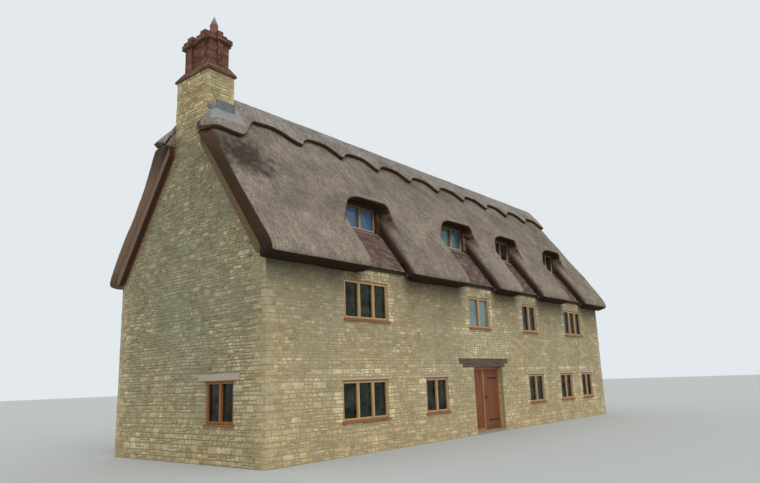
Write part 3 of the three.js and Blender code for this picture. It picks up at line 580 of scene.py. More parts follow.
def add_slab(soup, corners, back, bevel, tone):
    """A slab whose face has four corners, in order round it from outside, and whose body lies behind it."""
    corners = [Vector(p) for p in corners]
    a, b, c, d = corners
    normal = (b - a).cross(d - a).normalized()
    centre = (a + b + c + d) / 4
    points = [p + (centre - p).normalized() * bevel * SLAB_ROUNDED for p in corners]
    points += [p - normal * depth for depth in (bevel, back) for p in corners]
    faces = [(0, 1, 2, 3), (11, 10, 9, 8)]
    for i, j in around(4):
        faces += [(4 + i, 4 + j, j, i), (8 + i, 8 + j, 4 + j, 4 + i)]
    soup.add(points, faces, tone)


# Masonry

class Wall:
    """One face of masonry. start is its lower corner on the left, seen from outside."""

    def __init__(self, start, along, out, length):
        self.start, self.along, self.out = Vector(start), Vector(along), Vector(out)
        self.length = length

    def place(self, u, v, w):
        p = self.start + self.along * u + self.out * w
        return at(p.x, p.y, p.z + v)

    def span(self, node):
        """Left, right, bottom and top of a node on this face, and how far out its front is."""
        corners = [c - at(*self.start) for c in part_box(node)]
        across = sorted(c.dot(self.along) for c in corners)
        return *across, corners[0].z, corners[1].z, max(c.dot(self.out) for c in corners)


def walls_round(x0, y0, x1, y1):
    """The front, far, rear and near faces of an upright block."""
    starts = (x0, y0, 0), (x1, y0, 0), (x1, y1, 0), (x0, y1, 0)
    ways = (1, 0, 0), (0, 1, 0), (-1, 0, 0), (0, -1, 0)
    lengths = 2 * [x1 - x0, y1 - y0]
    return [Wall(starts[i], ways[i], ways[i - 1], lengths[i]) for i in range(4)]


HOUSE = (0, 0, LENGTH, WIDTH)
STACK = (0, STACK_FRONT, STACK_DEPTH, STACK_REAR)
FRONT, FAR_GABLE, REAR, NEAR_GABLE = walls_round(*HOUSE)
GABLE_HOLE = NEAR_GABLE.span("gable_window")

FRONT_WINDOWS = [f"{row}_window_{i + 1}" for row, count in (("upper", 4), ("lower", 5)) for i in range(count)]
REAR_WINDOWS = [f"rear_{row}_window_{i}" for row in ("upper", "lower") for i in (1, 2)]
GABLE_WINDOWS = ["gable_window"]

# Courses, and the stack above the roof, where its own stones start
WALL_TOP = EAVE_SEAT - 0.012
LOW_BEDS_BELOW = 1.9
LOW_BED, HIGH_BED = 0.118, 0.088
BED_SPREAD = (0.6, 1.45)
STACK_STONES_FROM = 8.0
ROUNDING = 0.001

# Stones: their joints and edges, and how far they reach behind the face and over a reveal
STONE_JOINT = 0.004
JOINT_SPREAD = (0.6, 1.8)
JOINT_SLANT = 0.4
STONE_BACK = 0.02
STONE_BEVEL, BEVEL_MOST = 0.008, 0.2
EDGE_SPREAD, BELLY_SPREAD = (0.65, 1.1), (1.0, 1.4)
CORNER_CUTS, CORNER_CUT_MOST, SHARP = (0.1, 0.34), 0.1, 0.001
REVEAL_COVER = 0.003
REVEAL_GAP = 0.002
SHORTEST_STONE, LONGEST_STONE = 0.07, 0.42
LEAST_STRETCH = 0.03
TALL_STONE = 0.088
SPLIT_CHANCE, HALVED_CHANCE, SPLIT_AT = 0.42, 0.6, (0.36, 0.64)
HALVED_FROM = 2.6 * SHORTEST_STONE

# How proud the stones are, and how long for their height
LONG_WALL_STYLE = (0.003, 0.009), (0.9, 2.9)
GABLE_STYLE = (0.004, 0.02), (0.8, 2.6)

# Corner stones: least height, long and short lengths, how proud they are, and the stack's share of a length
QUOIN_HEIGHT = 0.1
QUOIN_LONG, QUOIN_SHORT = (0.25, 0.35), (0.13, 0.19)
QUOIN_PROUD = 0.009
QUOIN_GAP = 0.004
STACK_CORNER = 0.6
HOUSE_UNEVEN, STACK_UNEVEN = 0.003, 0.005

# Rise and fall of the beds: broad and tight waves, level at the foot and round the gable's window
WALL_WAVES, GABLE_WAVES = (0.011, 0.006), (0.022, 0.014)
LEVEL_FOOT = 0.3
LEVEL_ROUND, WAVY_BEYOND = 0.1, 0.4

# Stones over the windows: how far they reach past each end, and their height
GABLE_LINTEL = (0.252, 0.213), 0.16
LOWER_LINTEL = (0.05, 0.05), 0.055
NO_LINTEL = (0.0, 0.0), 0.0

# Newer, paler stones beside and over the front's windows
FRESH_BESIDE, FRESH_OVER, FRESH_MORE = 0.17, 0.26, 0.5


def make_beds(rng):
    """Heights of the bed joints. The sills and heads of the windows and the doorway are among them."""
    keys = {0.0, WALL_TOP, STACK_TOP, LINTEL_STEP}
    for node in ("upper_window_1", "lower_window_1", "gable_window", "door_lintel"):
        keys.update(FRONT.span(node)[2:4])
    beds = [0.0]
    for bottom, top in pairwise(sorted(keys)):
        usual = LOW_BED if top < LOW_BEDS_BELOW else HIGH_BED
        count = max(1, round((top - bottom) / usual))
        parts = [rng.uniform(*BED_SPREAD) for _ in range(count)]
        for part in parts:
            beds.append(beds[-1] + (top - bottom) * part / sum(parts))
        beds[-1] = top
    return beds


BEDS = make_beds(random.Random(11))


def make_quoins(rng):
    """Corner stones: bottom, top, and the lengths along the two walls, long and short by turns."""
    quoins = []
    bottom = BEDS[0]
    for bed in BEDS[1:]:
        if bed - bottom >= QUOIN_HEIGHT:
            lengths = rng.uniform(*QUOIN_LONG), rng.uniform(*QUOIN_SHORT)
            quoins.append((bottom, bed, lengths[::-1] if len(quoins) % 2 else lengths))
            bottom = bed
    return quoins


QUOINS = make_quoins(random.Random(5))


def quoin_length(height, which):
    return next((lengths[which] for bottom, top, lengths in QUOINS if bottom <= height < top), 0.0)


def stack_corner(height, which):
    return STACK_CORNER * quoin_length(height, which) if height > STACK_STONES_FROM else 0.0


# How far in from its corner a face starts, for a course at middle, at one height in it

def level_end(middle, height):
    return quoin_length(middle, 0) if middle < WALL_TOP else 0.0


def far_slope_end(middle, height):
    return quoin_length(middle, 1) if middle < WALL_TOP else (height - HEAD_FACE) / HEAD_RISE


def near_slope_end(middle, height):
    return min(far_slope_end(middle, height), STACK_FRONT) + stack_corner(middle, 1)


FRONT_HOLES = [FRONT.span(node)[:4] for node in FRONT_WINDOWS]


def freshness(wall, u, v):
    """Extra tone for the newer stones."""
    fresh = wall is FRONT and any(
        left - FRESH_BESIDE < u < right + FRESH_BESIDE and bottom < v < top + FRESH_OVER
        for left, right, bottom, top in FRONT_HOLES
    )
    return FRESH_MORE if fresh else 0.0


def bed_wave(wall, u, v):
    """How far the beds of a face rise and fall from level."""
    shift = 7.0 * (wall.start.x + wall.start.y)
    broad, tight = noisy(u * 0.5, v * 0.9, shift), noisy(u * 3.1, v * 2.3, shift + 5)
    level = min(1.0, v / LEVEL_FOOT)
    if wall.out.y:
        return (WALL_WAVES[0] * broad + WALL_WAVES[1] * tight) * level
    left, right, bottom, top, _ = GABLE_HOLE
    away = max(left - u, u - right, bottom - v, v - top)
    waves = (GABLE_WAVES[0] * broad + GABLE_WAVES[1] * tight) * level
    return waves * clamped((away - LEVEL_ROUND) / WAVY_BEYOND)


def add_stone(soup, wall, left, right, bottom, top, rng, proud, returns):
    """One stone between joints that may slant. returns is how far each end runs back into a reveal."""
    bevel = min(STONE_BEVEL, BEVEL_MOST * (top - bottom))
    out = rng.uniform(*proud)
    joints = [STONE_JOINT * rng.uniform(*JOINT_SPREAD) for _ in range(4)]
    cuts = [rng.uniform(*CORNER_CUTS) * min(top - bottom, CORNER_CUT_MOST) for _ in range(4)]
    near, far = (-REVEAL_COVER if deep else joint for deep, joint in zip(returns, joints))
    a, b, c, d = (SHARP if deep else cut for deep, cut in zip((*returns, *returns[::-1]), cuts))
    points = []
    for extra in (0.0, bevel):
        low_left, high_left = (end + (near + extra) for end in left)
        low_right, high_right = (end - (far + extra) for end in right)
        low, high = bottom + joints[2] + extra, top - joints[3] - extra
        for u, v in (
            (low_left + a, low), (low_right - b, low), (low_right, low + b), (high_right, high - c),
            (high_right - c, high), (high_left + d, high), (high_left, high - d), (low_left, low + a),
        ):
            depth = out * rng.uniform(*EDGE_SPREAD) if extra else -max(STONE_BACK, *returns)
            points.append(wall.place(u, v + bed_wave(wall, u, v), depth))
    middle = sum(left + right) / 4, (bottom + top) / 2
    points.append(wall.place(*middle, out * rng.uniform(*BELLY_SPREAD)))
    faces = [tuple(range(7, -1, -1))]
    for i, j in around(8):
        faces += [(i, j, 8 + j, 8 + i), (8 + i, 8 + j, 16)]
    soup.add(points, faces, rng.betavariate(2.0, 2.0) + freshness(wall, *middle))


def free_spans(left, right, blocked):
    """The stretches of a course that openings leave, each with the reveal depth at its two ends."""
    spans = []
    start, start_return = left, 0.0
    for low, high, reveal in sorted(blocked) + [(right, right, 0.0)]:
        if low - start > LEAST_STRETCH:
            spans.append((start, low, start_return, reveal))
        start, start_return = high, reveal
    return spans


def split_block(first, last, bottom, top, rng):
    """A block of a course as one stone, or as thinner ones in two beds, each with a joint of its own."""
    if top - bottom < TALL_STONE or rng.random() > SPLIT_CHANCE:
        return [(first, last, bottom, top)]
    level = bottom + (top - bottom) * rng.uniform(*SPLIT_AT)
    stones = []
    for low, high in ((bottom, level), (level, top)):
        joints = [first, last]
        if last - first > HALVED_FROM and rng.random() < HALVED_CHANCE:
            joints.insert(1, first + (last - first) * rng.uniform(*SPLIT_AT))
        stones += [(a, b, low, high) for a, b in pairwise(joints)]
    return stones


def lay_course(soup, wall, bottom, top, end_of, blocked, rng, style):
    """Stones of one course, cut at its two ends where end_of says that the face starts."""
    proud, lengths = style
    middle, height = (bottom + top) / 2, top - bottom
    edge = end_of(middle, bottom)
    for start, end, start_return, end_return in free_spans(edge, wall.length - edge, blocked):
        joints = [start]
        while end - joints[-1] > LONGEST_STONE:
            length = height * rng.uniform(*lengths)
            joints.append(joints[-1] + min(LONGEST_STONE, max(SHORTEST_STONE, length)))
        if end - joints[-1] < SHORTEST_STONE and len(joints) > 1:
            joints.pop()
        for first, last in pairwise(joints + [end]):
            for a, b, low, high in split_block(first, last, bottom, top, rng):
                ends = []
                for level in (low, high):
                    cut = end_of(middle, level)
                    near, far = (
                        joint if joint in (start, end)
                        else joint + JOINT_SLANT * (level - middle) * noisy(joint * 9.7, middle * 5.3, 1)
                        for joint in (a, b)
                    )
                    ends.append((max(near, cut), min(far, wall.length - cut)))
                if min(right - left for left, right in ends) >= LEAST_STRETCH:
                    returns = (start_return if a == start else 0.0, end_return if b == end else 0.0)
                    add_stone(soup, wall, *zip(*ends), low, high, rng, proud, returns)


def face_wall(name, wall, material, openings, seed, style, top, end_of):
    """Covers a face of masonry with stones, course by course, round its openings."""
    soup = Soup()
    rng = random.Random(seed)
    for bottom, bed in pairwise(BEDS):
        if bed <= top + ROUNDING:
            middle = (bottom + bed) / 2
            blocked = [(a, b, reveal) for a, b, low, high, reveal in openings if low < middle < high]
            lay_course(soup, wall, bottom, bed, end_of, blocked, rng, style)
    soup.piece(name, material, "stone")


def lintel_of(node):
    if node == "gable_window":
        return GABLE_LINTEL
    return LOWER_LINTEL if "lower" in node else NO_LINTEL


def window_openings(wall, windows):
    """Holes that the stones keep clear: each window with its reveal, and the lintel over it."""
    holes = []
    for node in windows:
        left, right, bottom, top, front = wall.span(node)
        holes.append((left, right, bottom, top, -front - REVEAL_GAP))
        beyond, height = lintel_of(node)
        if height:
            holes.append((left - beyond[0], right + beyond[1], top, top + height, 0.0))
    return holes


def doorway_openings():
    left, right, _, top, front = FRONT.span("door_frame")
    lintel = FRONT.span("door_lintel")
    return [
        (left, right, 0.0, top, -front - REVEAL_GAP),
        (*LINTEL_LOWER, lintel[2], LINTEL_STEP, 0.0),
        (lintel[0], lintel[1], LINTEL_STEP, lintel[3], 0.0),
    ]


def add_corner_stones(soup, block, quoins, share, rng, uneven, tone):
    """Stones up the four corners of an upright block, with a share of each stone's length."""
    x0, y0, x1, y1 = block
    for bottom, top, lengths in quoins:
        long_way, short_way = (share * length for length in lengths)
        for rear, far in product((0, 1), repeat=2):
            out = QUOIN_PROUD + rng.uniform(-uneven, uneven)
            x = (x1 + out, x1 - long_way) if far else (x0 - out, x0 + long_way)
            y = (y1 + out, y1 - short_way) if rear else (y0 - out, y0 + short_way)
            low, high = zip(x, y, (bottom + QUOIN_GAP, top - QUOIN_GAP))
            add_block(soup, low, high, STONE_BEVEL, tone())


def build_corner_stones():
    corners = Soup()
    rng = random.Random(31)
    quoins = [quoin for quoin in QUOINS if quoin[1] <= WALL_TOP + ROUNDING]
    add_corner_stones(corners, HOUSE, quoins, 1.0, rng, HOUSE_UNEVEN, lambda: rng.uniform(0.3, 0.8))
    corners.piece("corner_stones", STONE_CORNER, "stone")


def build_masonry():
    front = window_openings(FRONT, FRONT_WINDOWS) + doorway_openings()
    rear, gable = window_openings(REAR, REAR_WINDOWS), window_openings(NEAR_GABLE, GABLE_WINDOWS)
    head = HEAD_FACE + HEAD_RISE * WIDTH / 2
    face_wall("front_stonework", FRONT, STONE_FRONT, front, 21, LONG_WALL_STYLE, WALL_TOP, level_end)
    face_wall("rear_stonework", REAR, STONE_FRONT, rear, 22, LONG_WALL_STYLE, WALL_TOP, level_end)
    face_wall("near_gable_stonework", NEAR_GABLE, STONE_GABLE, gable, 23, GABLE_STYLE, STACK_TOP,
              near_slope_end)
    face_wall("far_gable_stonework", FAR_GABLE, STONE_GABLE, [], 24, GABLE_STYLE, head, far_slope_end)
    build_corner_stones()


build_masonry()
paint(MORTAR_FRONT, "front_wall_left", "front_wall_over_door", "front_wall_right", "rear_wall")
paint(MORTAR_GABLE, "gable_wall_near", "gable_wall_far", "chimney_stack")


# Thatch

FRONT_VOXEL, REAR_VOXEL = ((0.034, 0.062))
MOST_TRIANGLES = 170000
WELD = 1e-4
SHARE_ROUNDS = 4

# Rounding of the banks beside the dormers, of the lip of the eaves and of the verges
BANK_SOFTNESS = 0.2
BANK_REACH = 0.22
EDGE_SHARE = 0.36
EAVE_ROUNDED = (0.04, 0.2)
BANK_DEPTH, VERGE_DEPTH = 0.16, 0.3

# Beside the stack the thatch bends down and out
DROOP_DEPTH, DROOP_FLARE = 0.62, 0.08
DROOP_REACH = 0.30
DROOP_FOOT = 1.78
DROOP_MOST, DROOP_CURVE = 1.1, 1.3

# The front slope's sloping end at the near verge
CHAMFER = 0.09
CHAMFER_STEEPNESS = 1.1
CHAMFER_FROM = 0.8

# The rear slope is thicker towards the near verge, and bulges beside the ridge cap
SWELL, SWELL_REACH = 0.06, 0.9
BULGE = 0.27
BULGE_BACK, BULGE_SPREAD = 1.86, 0.85
SWELL_FADE, BULGE_FADE, BULGE_PAST = 0.5, 0.3, 0.1

# Cut reed round the verges, the steep sides beside the dormers, and the depths over which the valley sides
# take painted shade
ARRIS_DEPTH = 0.08
CUT_RIM = 0.03
CHEEK_REACH = 0.62
VALLEY_SIDE = (0.06, 0.3)
HOOD_BELOW = 0.02

# Depth of the broad hollows and of the fine ripples
THATCH_RUFFLE, CAP_RUFFLE = (0.026, 0.005), (0.010, 0.003)


def frame_top(y):
    return FRAME_FACE + FRAME_RISE * y


def thatch_top(y):
    return THATCH_FACE + THATCH_RISE * y


def from_front(y):
    """Distance behind the front wall face, or on the rear slope behind the rear one."""
    return RIDGE - np.abs(y - RIDGE)


def high_in_thatch(back, z):
    """How far up through the thatch a point is: 0 on the rafters, 1 at its surface."""
    return np.clip((z - frame_top(back)) / (thatch_top(back) - frame_top(back)), 0, 1)


def near_verge(x, reach):
    return np.clip((reach - x) / (reach - VERGE_NEAR), 0, 1) ** 2


def droop(points):
    """Bends the thatch and its cap down and out where the verge runs up against the chimney stack."""
    x, y, z = points.T
    back = from_front(y)
    high = np.clip((back - DROOP_FOOT) / (STACK_FRONT - DROOP_FOOT), 0, DROOP_MOST) ** DROOP_CURVE
    share = near_verge(x, DROOP_REACH) * high
    points[:, 2] -= DROOP_DEPTH * share * high_in_thatch(back, z)
    points[:, 0] -= DROOP_FLARE * share
    return points


def chamfer_reach(back):
    """How wide the sloping end of the thatch is, beside the near verge of the front slope."""
    return CHAMFER * np.clip((back - CHAMFER_FROM) / CHAMFER_FROM, 0, 1)


def chamfer(points):
    """Slopes the end of the front thatch where it runs up to the chimney stack."""
    x, y, z = points.T
    back = from_front(y)
    inside = np.clip(chamfer_reach(back) - (x - VERGE_NEAR), 0, 1) * (y < RIDGE)
    points[:, 2] -= CHAMFER_STEEPNESS * inside * high_in_thatch(back, z)
    return points


def swell(points):
    """Thickens the rear slope towards its near verge, most of all beside the ridge cap's edge."""
    x, y, z = points.T
    back = from_front(y)
    low = np.clip((STACK_FRONT - back) / SWELL_FADE, 0, 1)
    bump = np.clip(1 - np.abs(back - BULGE_BACK) / BULGE_SPREAD, 0, 1)
    bump = bump * bump * (3 - 2 * bump) * np.clip((STACK_FRONT + BULGE_PAST - back) / BULGE_FADE, 0, 1)
    near = near_verge(x, SWELL_REACH) * (y > RIDGE)
    amount = near * high_in_thatch(back, z) * (SWELL * low + BULGE * bump)
    points[:, 1] += amount * LIFT
    points[:, 2] += amount * RUN
    return points


def modified(mesh, kind, **settings):
    """The mesh that one modifier makes of a mesh."""
    made = link("work", mesh)
    modifier = made.modifiers.new("work", kind)
    for key, value in settings.items():
        setattr(modifier, key, value)
    result = bpy.data.meshes.new_from_object(made.evaluated_get(bpy.context.evaluated_depsgraph_get()))
    bpy.data.objects.remove(made)
    return result


def reworked(mesh, change):
    """The same mesh, after a change to its points and faces."""
    work = bmesh.new()
    work.from_mesh(mesh)
    change(work)
    work.to_mesh(mesh)
    work.free()
    return mesh


def smooth(points, edges, weights, rounds):
    """Draws each point towards the mean of its neighbours."""
    count = np.bincount(edges.ravel(), minlength=len(points))
    first, second = edges.T
    for _ in range(rounds):
        total = np.empty_like(points)
        for axis, values in enumerate(points.T):
            total[:, axis] = np.bincount(first, values[second], len(points))
            total[:, axis] += np.bincount(second, values[first], len(points))
        points += weights[:, None] * (total / count[:, None] - points)
    return points


def read(rows, attribute, columns, kind=float):
    values = np.empty(columns * len(rows), dtype=kind)
    rows.foreach_get(attribute, values)
    return values.reshape(-1, columns)


def write_points(mesh, points):
    mesh.vertices.foreach_set("co", points.ravel())
    mesh.update()


def ruffle(mesh, broad, fine):
    """Pushes the surface in and out: broad hollows, and fine ripples that run down the slope."""
    points, normals = read(mesh.vertices, "co", 3), read(mesh.vertices, "normal", 3)
    for i, (x, y, z) in enumerate(points):
        hollow = noisy(x * 0.9, y * 1.1, z * 0.7)
        dent = noisy(x * 3.1, y * 1.9, z * 1.9)
        ripple = noisy(x * 9.0, y * 1.5 * RUN, z * 1.5 * RUN)
        points[i] += normals[i] * (broad * (hollow + 0.4 * dent) + fine * ripple)
    write_points(mesh, points)


def cut_share(points, normals, voxel):
    """Where the ends of the reed show: at the verges, under the eaves, and partly on steep sides."""
    x, y, z = points.T
    back = from_front(y)
    sloping = chamfer_reach(back) * (y < RIDGE)
    inside = np.minimum(x - VERGE_NEAR - sloping, VERGE_FAR - x)
    verge = np.clip(0.5 + (CUT_RIM - inside) / voxel, 0, 1)
    depth = np.clip(0.5 + (thatch_top(back) + sloping - z - ARRIS_DEPTH) / voxel, 0, 1)
    under = np.clip((-normals[:, 2] - 0.1) / 0.4, 0, 1)
    return np.maximum(np.minimum(verge, depth), under)


def cheek_and_shade_share(points, normals, dormers):
    """Steep sides that face a dormer, up to 0.5 under its hood; above 0.5 the hood's underside and below 0
    the valley sides under it, both painted shade.
    """
    x, y, z = points.T
    share = np.zeros(len(points))
    below = thatch_top(y) - z
    valley = np.clip((below - VALLEY_SIDE[0]) / (VALLEY_SIDE[1] - VALLEY_SIDE[0]), 0, 1)
    soffit = np.clip((-normals[:, 2] - 0.1) / 0.3, 0, 1)
    for centre, window, half in dormers:
        facing = np.clip((-np.sign(x - centre) * normals[:, 0] - 0.3) / 0.3, 0, 1)
        beside = (np.abs(x - centre) < half + CHEEK_REACH) & (y < window + 0.05) & (z > frame_top(y))
        share += beside * np.where(below < HOOD_BELOW, np.maximum(0.5 * facing, soffit), -facing * valley)
    return share


def rounded_share(points, dormers):
    """How much of the rounding each part of the thatch gets."""
    x, y, z = points.T
    back = from_front(y)
    share = EDGE_SHARE * np.clip((-back - EAVE_ROUNDED[0]) / (EAVE_ROUNDED[1] - EAVE_ROUNDED[0]), 0, 1)
    beside_verge = np.minimum(x - VERGE_NEAR, VERGE_FAR - x)
    verge = np.clip(1.5 - beside_verge / BANK_REACH, 0, 1) * (z > frame_top(back) + VERGE_DEPTH)
    share = np.maximum(share, EDGE_SHARE * verge)
    for centre, window, half in dormers:
        side = np.abs(np.abs(x - centre) - half)
        bank = np.clip(1.6 - side / BANK_REACH, 0, 1) * (y < window - 0.05)
        share = np.maximum(share, bank * ((z > frame_top(y) + BANK_DEPTH) | (y < 0.1)))
    return share


def dress_thatch(name, node, material, dormers, voxel):
    """The solid of one slope as a fine, even mesh, rounded, bent and combed."""
    mesh = reworked(
        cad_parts[node].data.copy(),
        lambda work: bmesh.ops.remove_doubles(work, verts=work.verts, dist=WELD),
    )
    mesh = modified(mesh, "REMESH", mode="VOXEL", voxel_size=voxel)
    corner = np.array([NEAR.x, NEAR.y, 0.0])
    points = read(mesh.vertices, "co", 3) - corner
    cut = cut_share(points, read(mesh.vertices, "normal", 3), voxel)
    edges = read(mesh.edges, "vertices", 2, np.int64)
    half_way = np.full(len(points), 0.5)
    points = smooth(points, edges, half_way, 2)
    write_points(mesh, points + corner)
    cheek_and_shade = cheek_and_shade_share(points, read(mesh.vertices, "normal", 3), dormers)
    shares = smooth(np.column_stack([cut, cheek_and_shade]), edges, half_way, SHARE_ROUNDS)
    rounding = 0.5 * rounded_share(points, dormers)
    points = smooth(points, edges, rounding, round(2 * (BANK_SOFTNESS / voxel) ** 2))
    write_points(mesh, swell(droop(chamfer(points))) + corner)
    ruffle(mesh, *THATCH_RUFFLE)
    for share, values in zip(("cut", "cheek_and_shade"), shares.T):
        write_share(mesh, share, values.copy())
    if 2 * len(mesh.polygons) > MOST_TRIANGLES:
        mesh = modified(mesh, "DECIMATE", ratio=MOST_TRIANGLES / (2 * len(mesh.polygons)))
    mesh.shade_smooth()
    made = show(name, mesh, material)
    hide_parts(node)


dress_thatch("front_thatch", "thatch_front", THATCH_FRONT, DORMERS, FRONT_VOXEL)
dress_thatch("rear_thatch", "thatch_rear", THATCH_REAR, [], REAR_VOXEL)


# Ridge cap, measured down the slope from the ridge line

CAP_THICKNESS = 0.092
CAP_CREST = 9.4
CREST_REACH = 0.108
CAP_BEYOND_VERGE = 0.015

# Its scalloped edge: the highest place and the tips, the apron beside the stack and the step up from it
CAP_HIGH, CAP_TIP = 0.815, 1.22
CAP_FIRST_TIP, CAP_TIP_SPACING = 3.178, 1.727
FIRST_TIP_MORE, FIRST_HIGH_MORE = 0.07, 0.06
TIP_BLUNT, TIP_STEEP = 0.93, 2.9
CAP_APRON, CAP_APRON_TIP, CAP_APRON_END = 1.84, 1.9, 0.66
APRON_TRIM, APRON_TRIM_TO = 0.16, 0.35
CAP_STEP_FOOT, CAP_STEP_END = 0.95, 1.6

# Its section: the thicker lip, the undercut below it, and the thinner edge at the near verge
CAP_STATION = 0.045
CAP_ROWS = 12
CAP_SUNK = 0.04
CAP_UNDERCUT = 0.05
CAP_ARRIS = 0.035
CAP_LIP, LIP_FROM = 0.03, 0.3
CREST_GAP = 0.02
END_FOOT, END_FOOT_REACH = 7.95, 0.3
END_CUT, END_LEAN = 0.9, 0.97
END_THINNED, END_THIN_REACH, END_THIN_WIDTH = 0.3, 0.36, 0.45

# The face of the lip, from below: share of its thickness, distance in from the edge, share of cut reed, whose
# dark colour is partly painted shade
LIP_FACE = ((0.3, 0.012, 1.0), (0.8, 0.0, 1.0), (0.96, 0.006, 1.0), (1.0, CAP_ARRIS, 0.0))

# The space that the stack takes out of the cap, past its sides
STACK_GAP = 0.004
STACK_SPACE_FROM, STACK_SPACE = -1.0, (6.5, 11.0)


def eased(start, end, part):
    """Between two values, level at both ends."""
    part = clamped(part)
    return start + (end - start) * part * part * (3 - 2 * part)


def towards_tip(part):
    """The blunt side of a scallop, from its highest place to its tip."""
    return 0.5 - 0.5 * math.cos(math.pi * min(1.0, part / TIP_BLUNT) ** 2)


def cap_edge(x):
    """How far down the slope the lower edge of the cap is."""
    if x <= CAP_APRON_END:
        trimmed = APRON_TRIM * max(0.0, APRON_TRIM_TO - x) ** 2
        return eased(CAP_APRON, CAP_APRON_TIP, x / CAP_APRON_END) - trimmed
    if x <= CAP_STEP_END:
        return eased(CAP_APRON_TIP, CAP_STEP_FOOT, (x - CAP_APRON_END) / (CAP_STEP_END - CAP_APRON_END))
    if x <= CAP_FIRST_TIP:
        part = (x - CAP_STEP_END) / (CAP_FIRST_TIP - CAP_STEP_END)
        high = eased(CAP_STEP_FOOT, CAP_HIGH + FIRST_HIGH_MORE, 2 * part)
        return high + (CAP_TIP + FIRST_TIP_MORE - high) * towards_tip(part)
    turn = 2 * (((x - CAP_FIRST_TIP) / CAP_TIP_SPACING) % 1) - 1
    return CAP_HIGH + (CAP_TIP - CAP_HIGH) * (towards_tip(turn) if turn > 0 else (-turn) ** TIP_STEEP)


def thinned_at(x):
    """Share of its thickness that the cap's edge has, less at the near verge."""
    short = clamped(1.0 - (x - VERGE_NEAR) / END_THIN_REACH)
    return END_THINNED + (1.0 - END_THINNED) * math.sqrt(1.0 - short * short)


def cap_top(back, thinned=1.0):
    """Height of the cap's surface, at a distance behind the front face up to the ridge. thinned is the share
    of its thickness that it has at its edge."""
    reach = RIDGE - back
    if reach < CREST_REACH:
        return CAP_CREST - THATCH_RISE * reach * reach / (2 * CREST_REACH)
    lip = CAP_LIP * clamped((reach / RUN - LIP_FROM) / (CAP_HIGH - LIP_FROM))
    share = eased(1.0, thinned, (reach - CREST_REACH) / END_THIN_WIDTH)
    return thatch_top(back) + (CAP_THICKNESS + lip) * share / RUN


def cap_section(x):
    """Points round the cap at one place along the ridge, from the front edge over the ridge and back, each
    with the share of cut reed that shows there."""
    edge = cap_edge(x)
    thinned = thinned_at(x)
    thickness = (CAP_THICKNESS + CAP_LIP) * thinned
    half = []
    face = [(share * thickness, inset, cut) for share, inset, cut in LIP_FACE]
    for out, inset, cut in [(-CAP_SUNK, CAP_UNDERCUT, 1.0)] + face:
        along = edge - inset
        half.append((RIDGE - along * RUN - out * LIFT, thatch_top(RIDGE - along * RUN) + out * RUN, cut))
    for row in range(CAP_ROWS):
        along = (edge - 2 * CAP_ARRIS) * (1 - row / CAP_ROWS)
        back = min(RIDGE - along * RUN - thickness * LIFT, RIDGE - CREST_GAP)
        half.append((back, cap_top(back, thinned), 0.0))
    rear = [(WIDTH - y, z, cut) for y, z, cut in reversed(half)]
    inner = thatch_top(RIDGE - END_FOOT_REACH) - CAP_SUNK
    at_verge = clamped((0.1 - x) / 0.3)
    low = [
        (RIDGE + END_FOOT_REACH, inner + (END_FOOT - inner) * at_verge, 1.0),
        (RIDGE - END_FOOT_REACH, inner, 1.0),
    ]
    return half + [(RIDGE, CAP_CREST, 0.0)] + rear + low


def loft_cap():
    """The whole cap as one closed mesh, before the stack is cut out of it."""
    start, end = VERGE_NEAR - CAP_BEYOND_VERGE, VERGE_FAR + CAP_BEYOND_VERGE
    rings = []
    for x in np.linspace(start, end, round((end - start) / CAP_STATION) + 1):
        # the end faces take the dark cut colour, partly painted shade
        least = END_CUT if x in (start, end) else 0.0
        rings.append([(x, y, z, max(cut, least)) for y, z, cut in cap_section(x)])
    size = len(rings[0])
    points = np.array([p for ring in rings for p in ring])
    placed = swell(droop(points[:, :3].copy())) + np.array([NEAR.x, NEAR.y, 0.0])
    faces = [tuple(range(size))[::-1], tuple(range(len(points) - size, len(points)))]
    for ring in range(0, len(points) - size, size):
        faces += [(ring + i, ring + j, ring + j + size, ring + i + size) for i, j in around(size)]
    mesh = bpy.data.meshes.new("whole_ridge")
    mesh.from_pydata(placed.tolist(), [], faces)
    write_share(mesh, "cut", points[:, 3].copy())
    return reworked(mesh, lambda work: bmesh.ops.recalc_face_normals(work, faces=work.faces))


def without_stack(mesh):
    """The mesh with the space of the chimney stack cut out."""
    space = Soup()
    low = STACK_SPACE_FROM, STACK_FRONT - STACK_GAP, STACK_SPACE[0]
    add_block(space, low, (STACK_DEPTH + STACK_GAP, STACK_REAR + STACK_GAP, STACK_SPACE[1]))
    cutter = link("stack_space", space.mesh("stack_space"))
    made = modified(mesh, "BOOLEAN", object=cutter, solver="MANIFOLD")
    bpy.data.objects.remove(cutter)
    return made


def dress_ridge_cap():
    mesh = without_stack(loft_cap())
    ruffle(mesh, *CAP_RUFFLE)
    mesh.shade_smooth()
    for face in mesh.polygons:
        if abs(face.normal.x) > END_LEAN:
            face.use_smooth = False
    made = show("ridge_thatch", mesh, RIDGE_THATCH)
    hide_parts("ridge_cap")


dress_ridge_cap()


# Tiles and lead in the valleys below the dormers

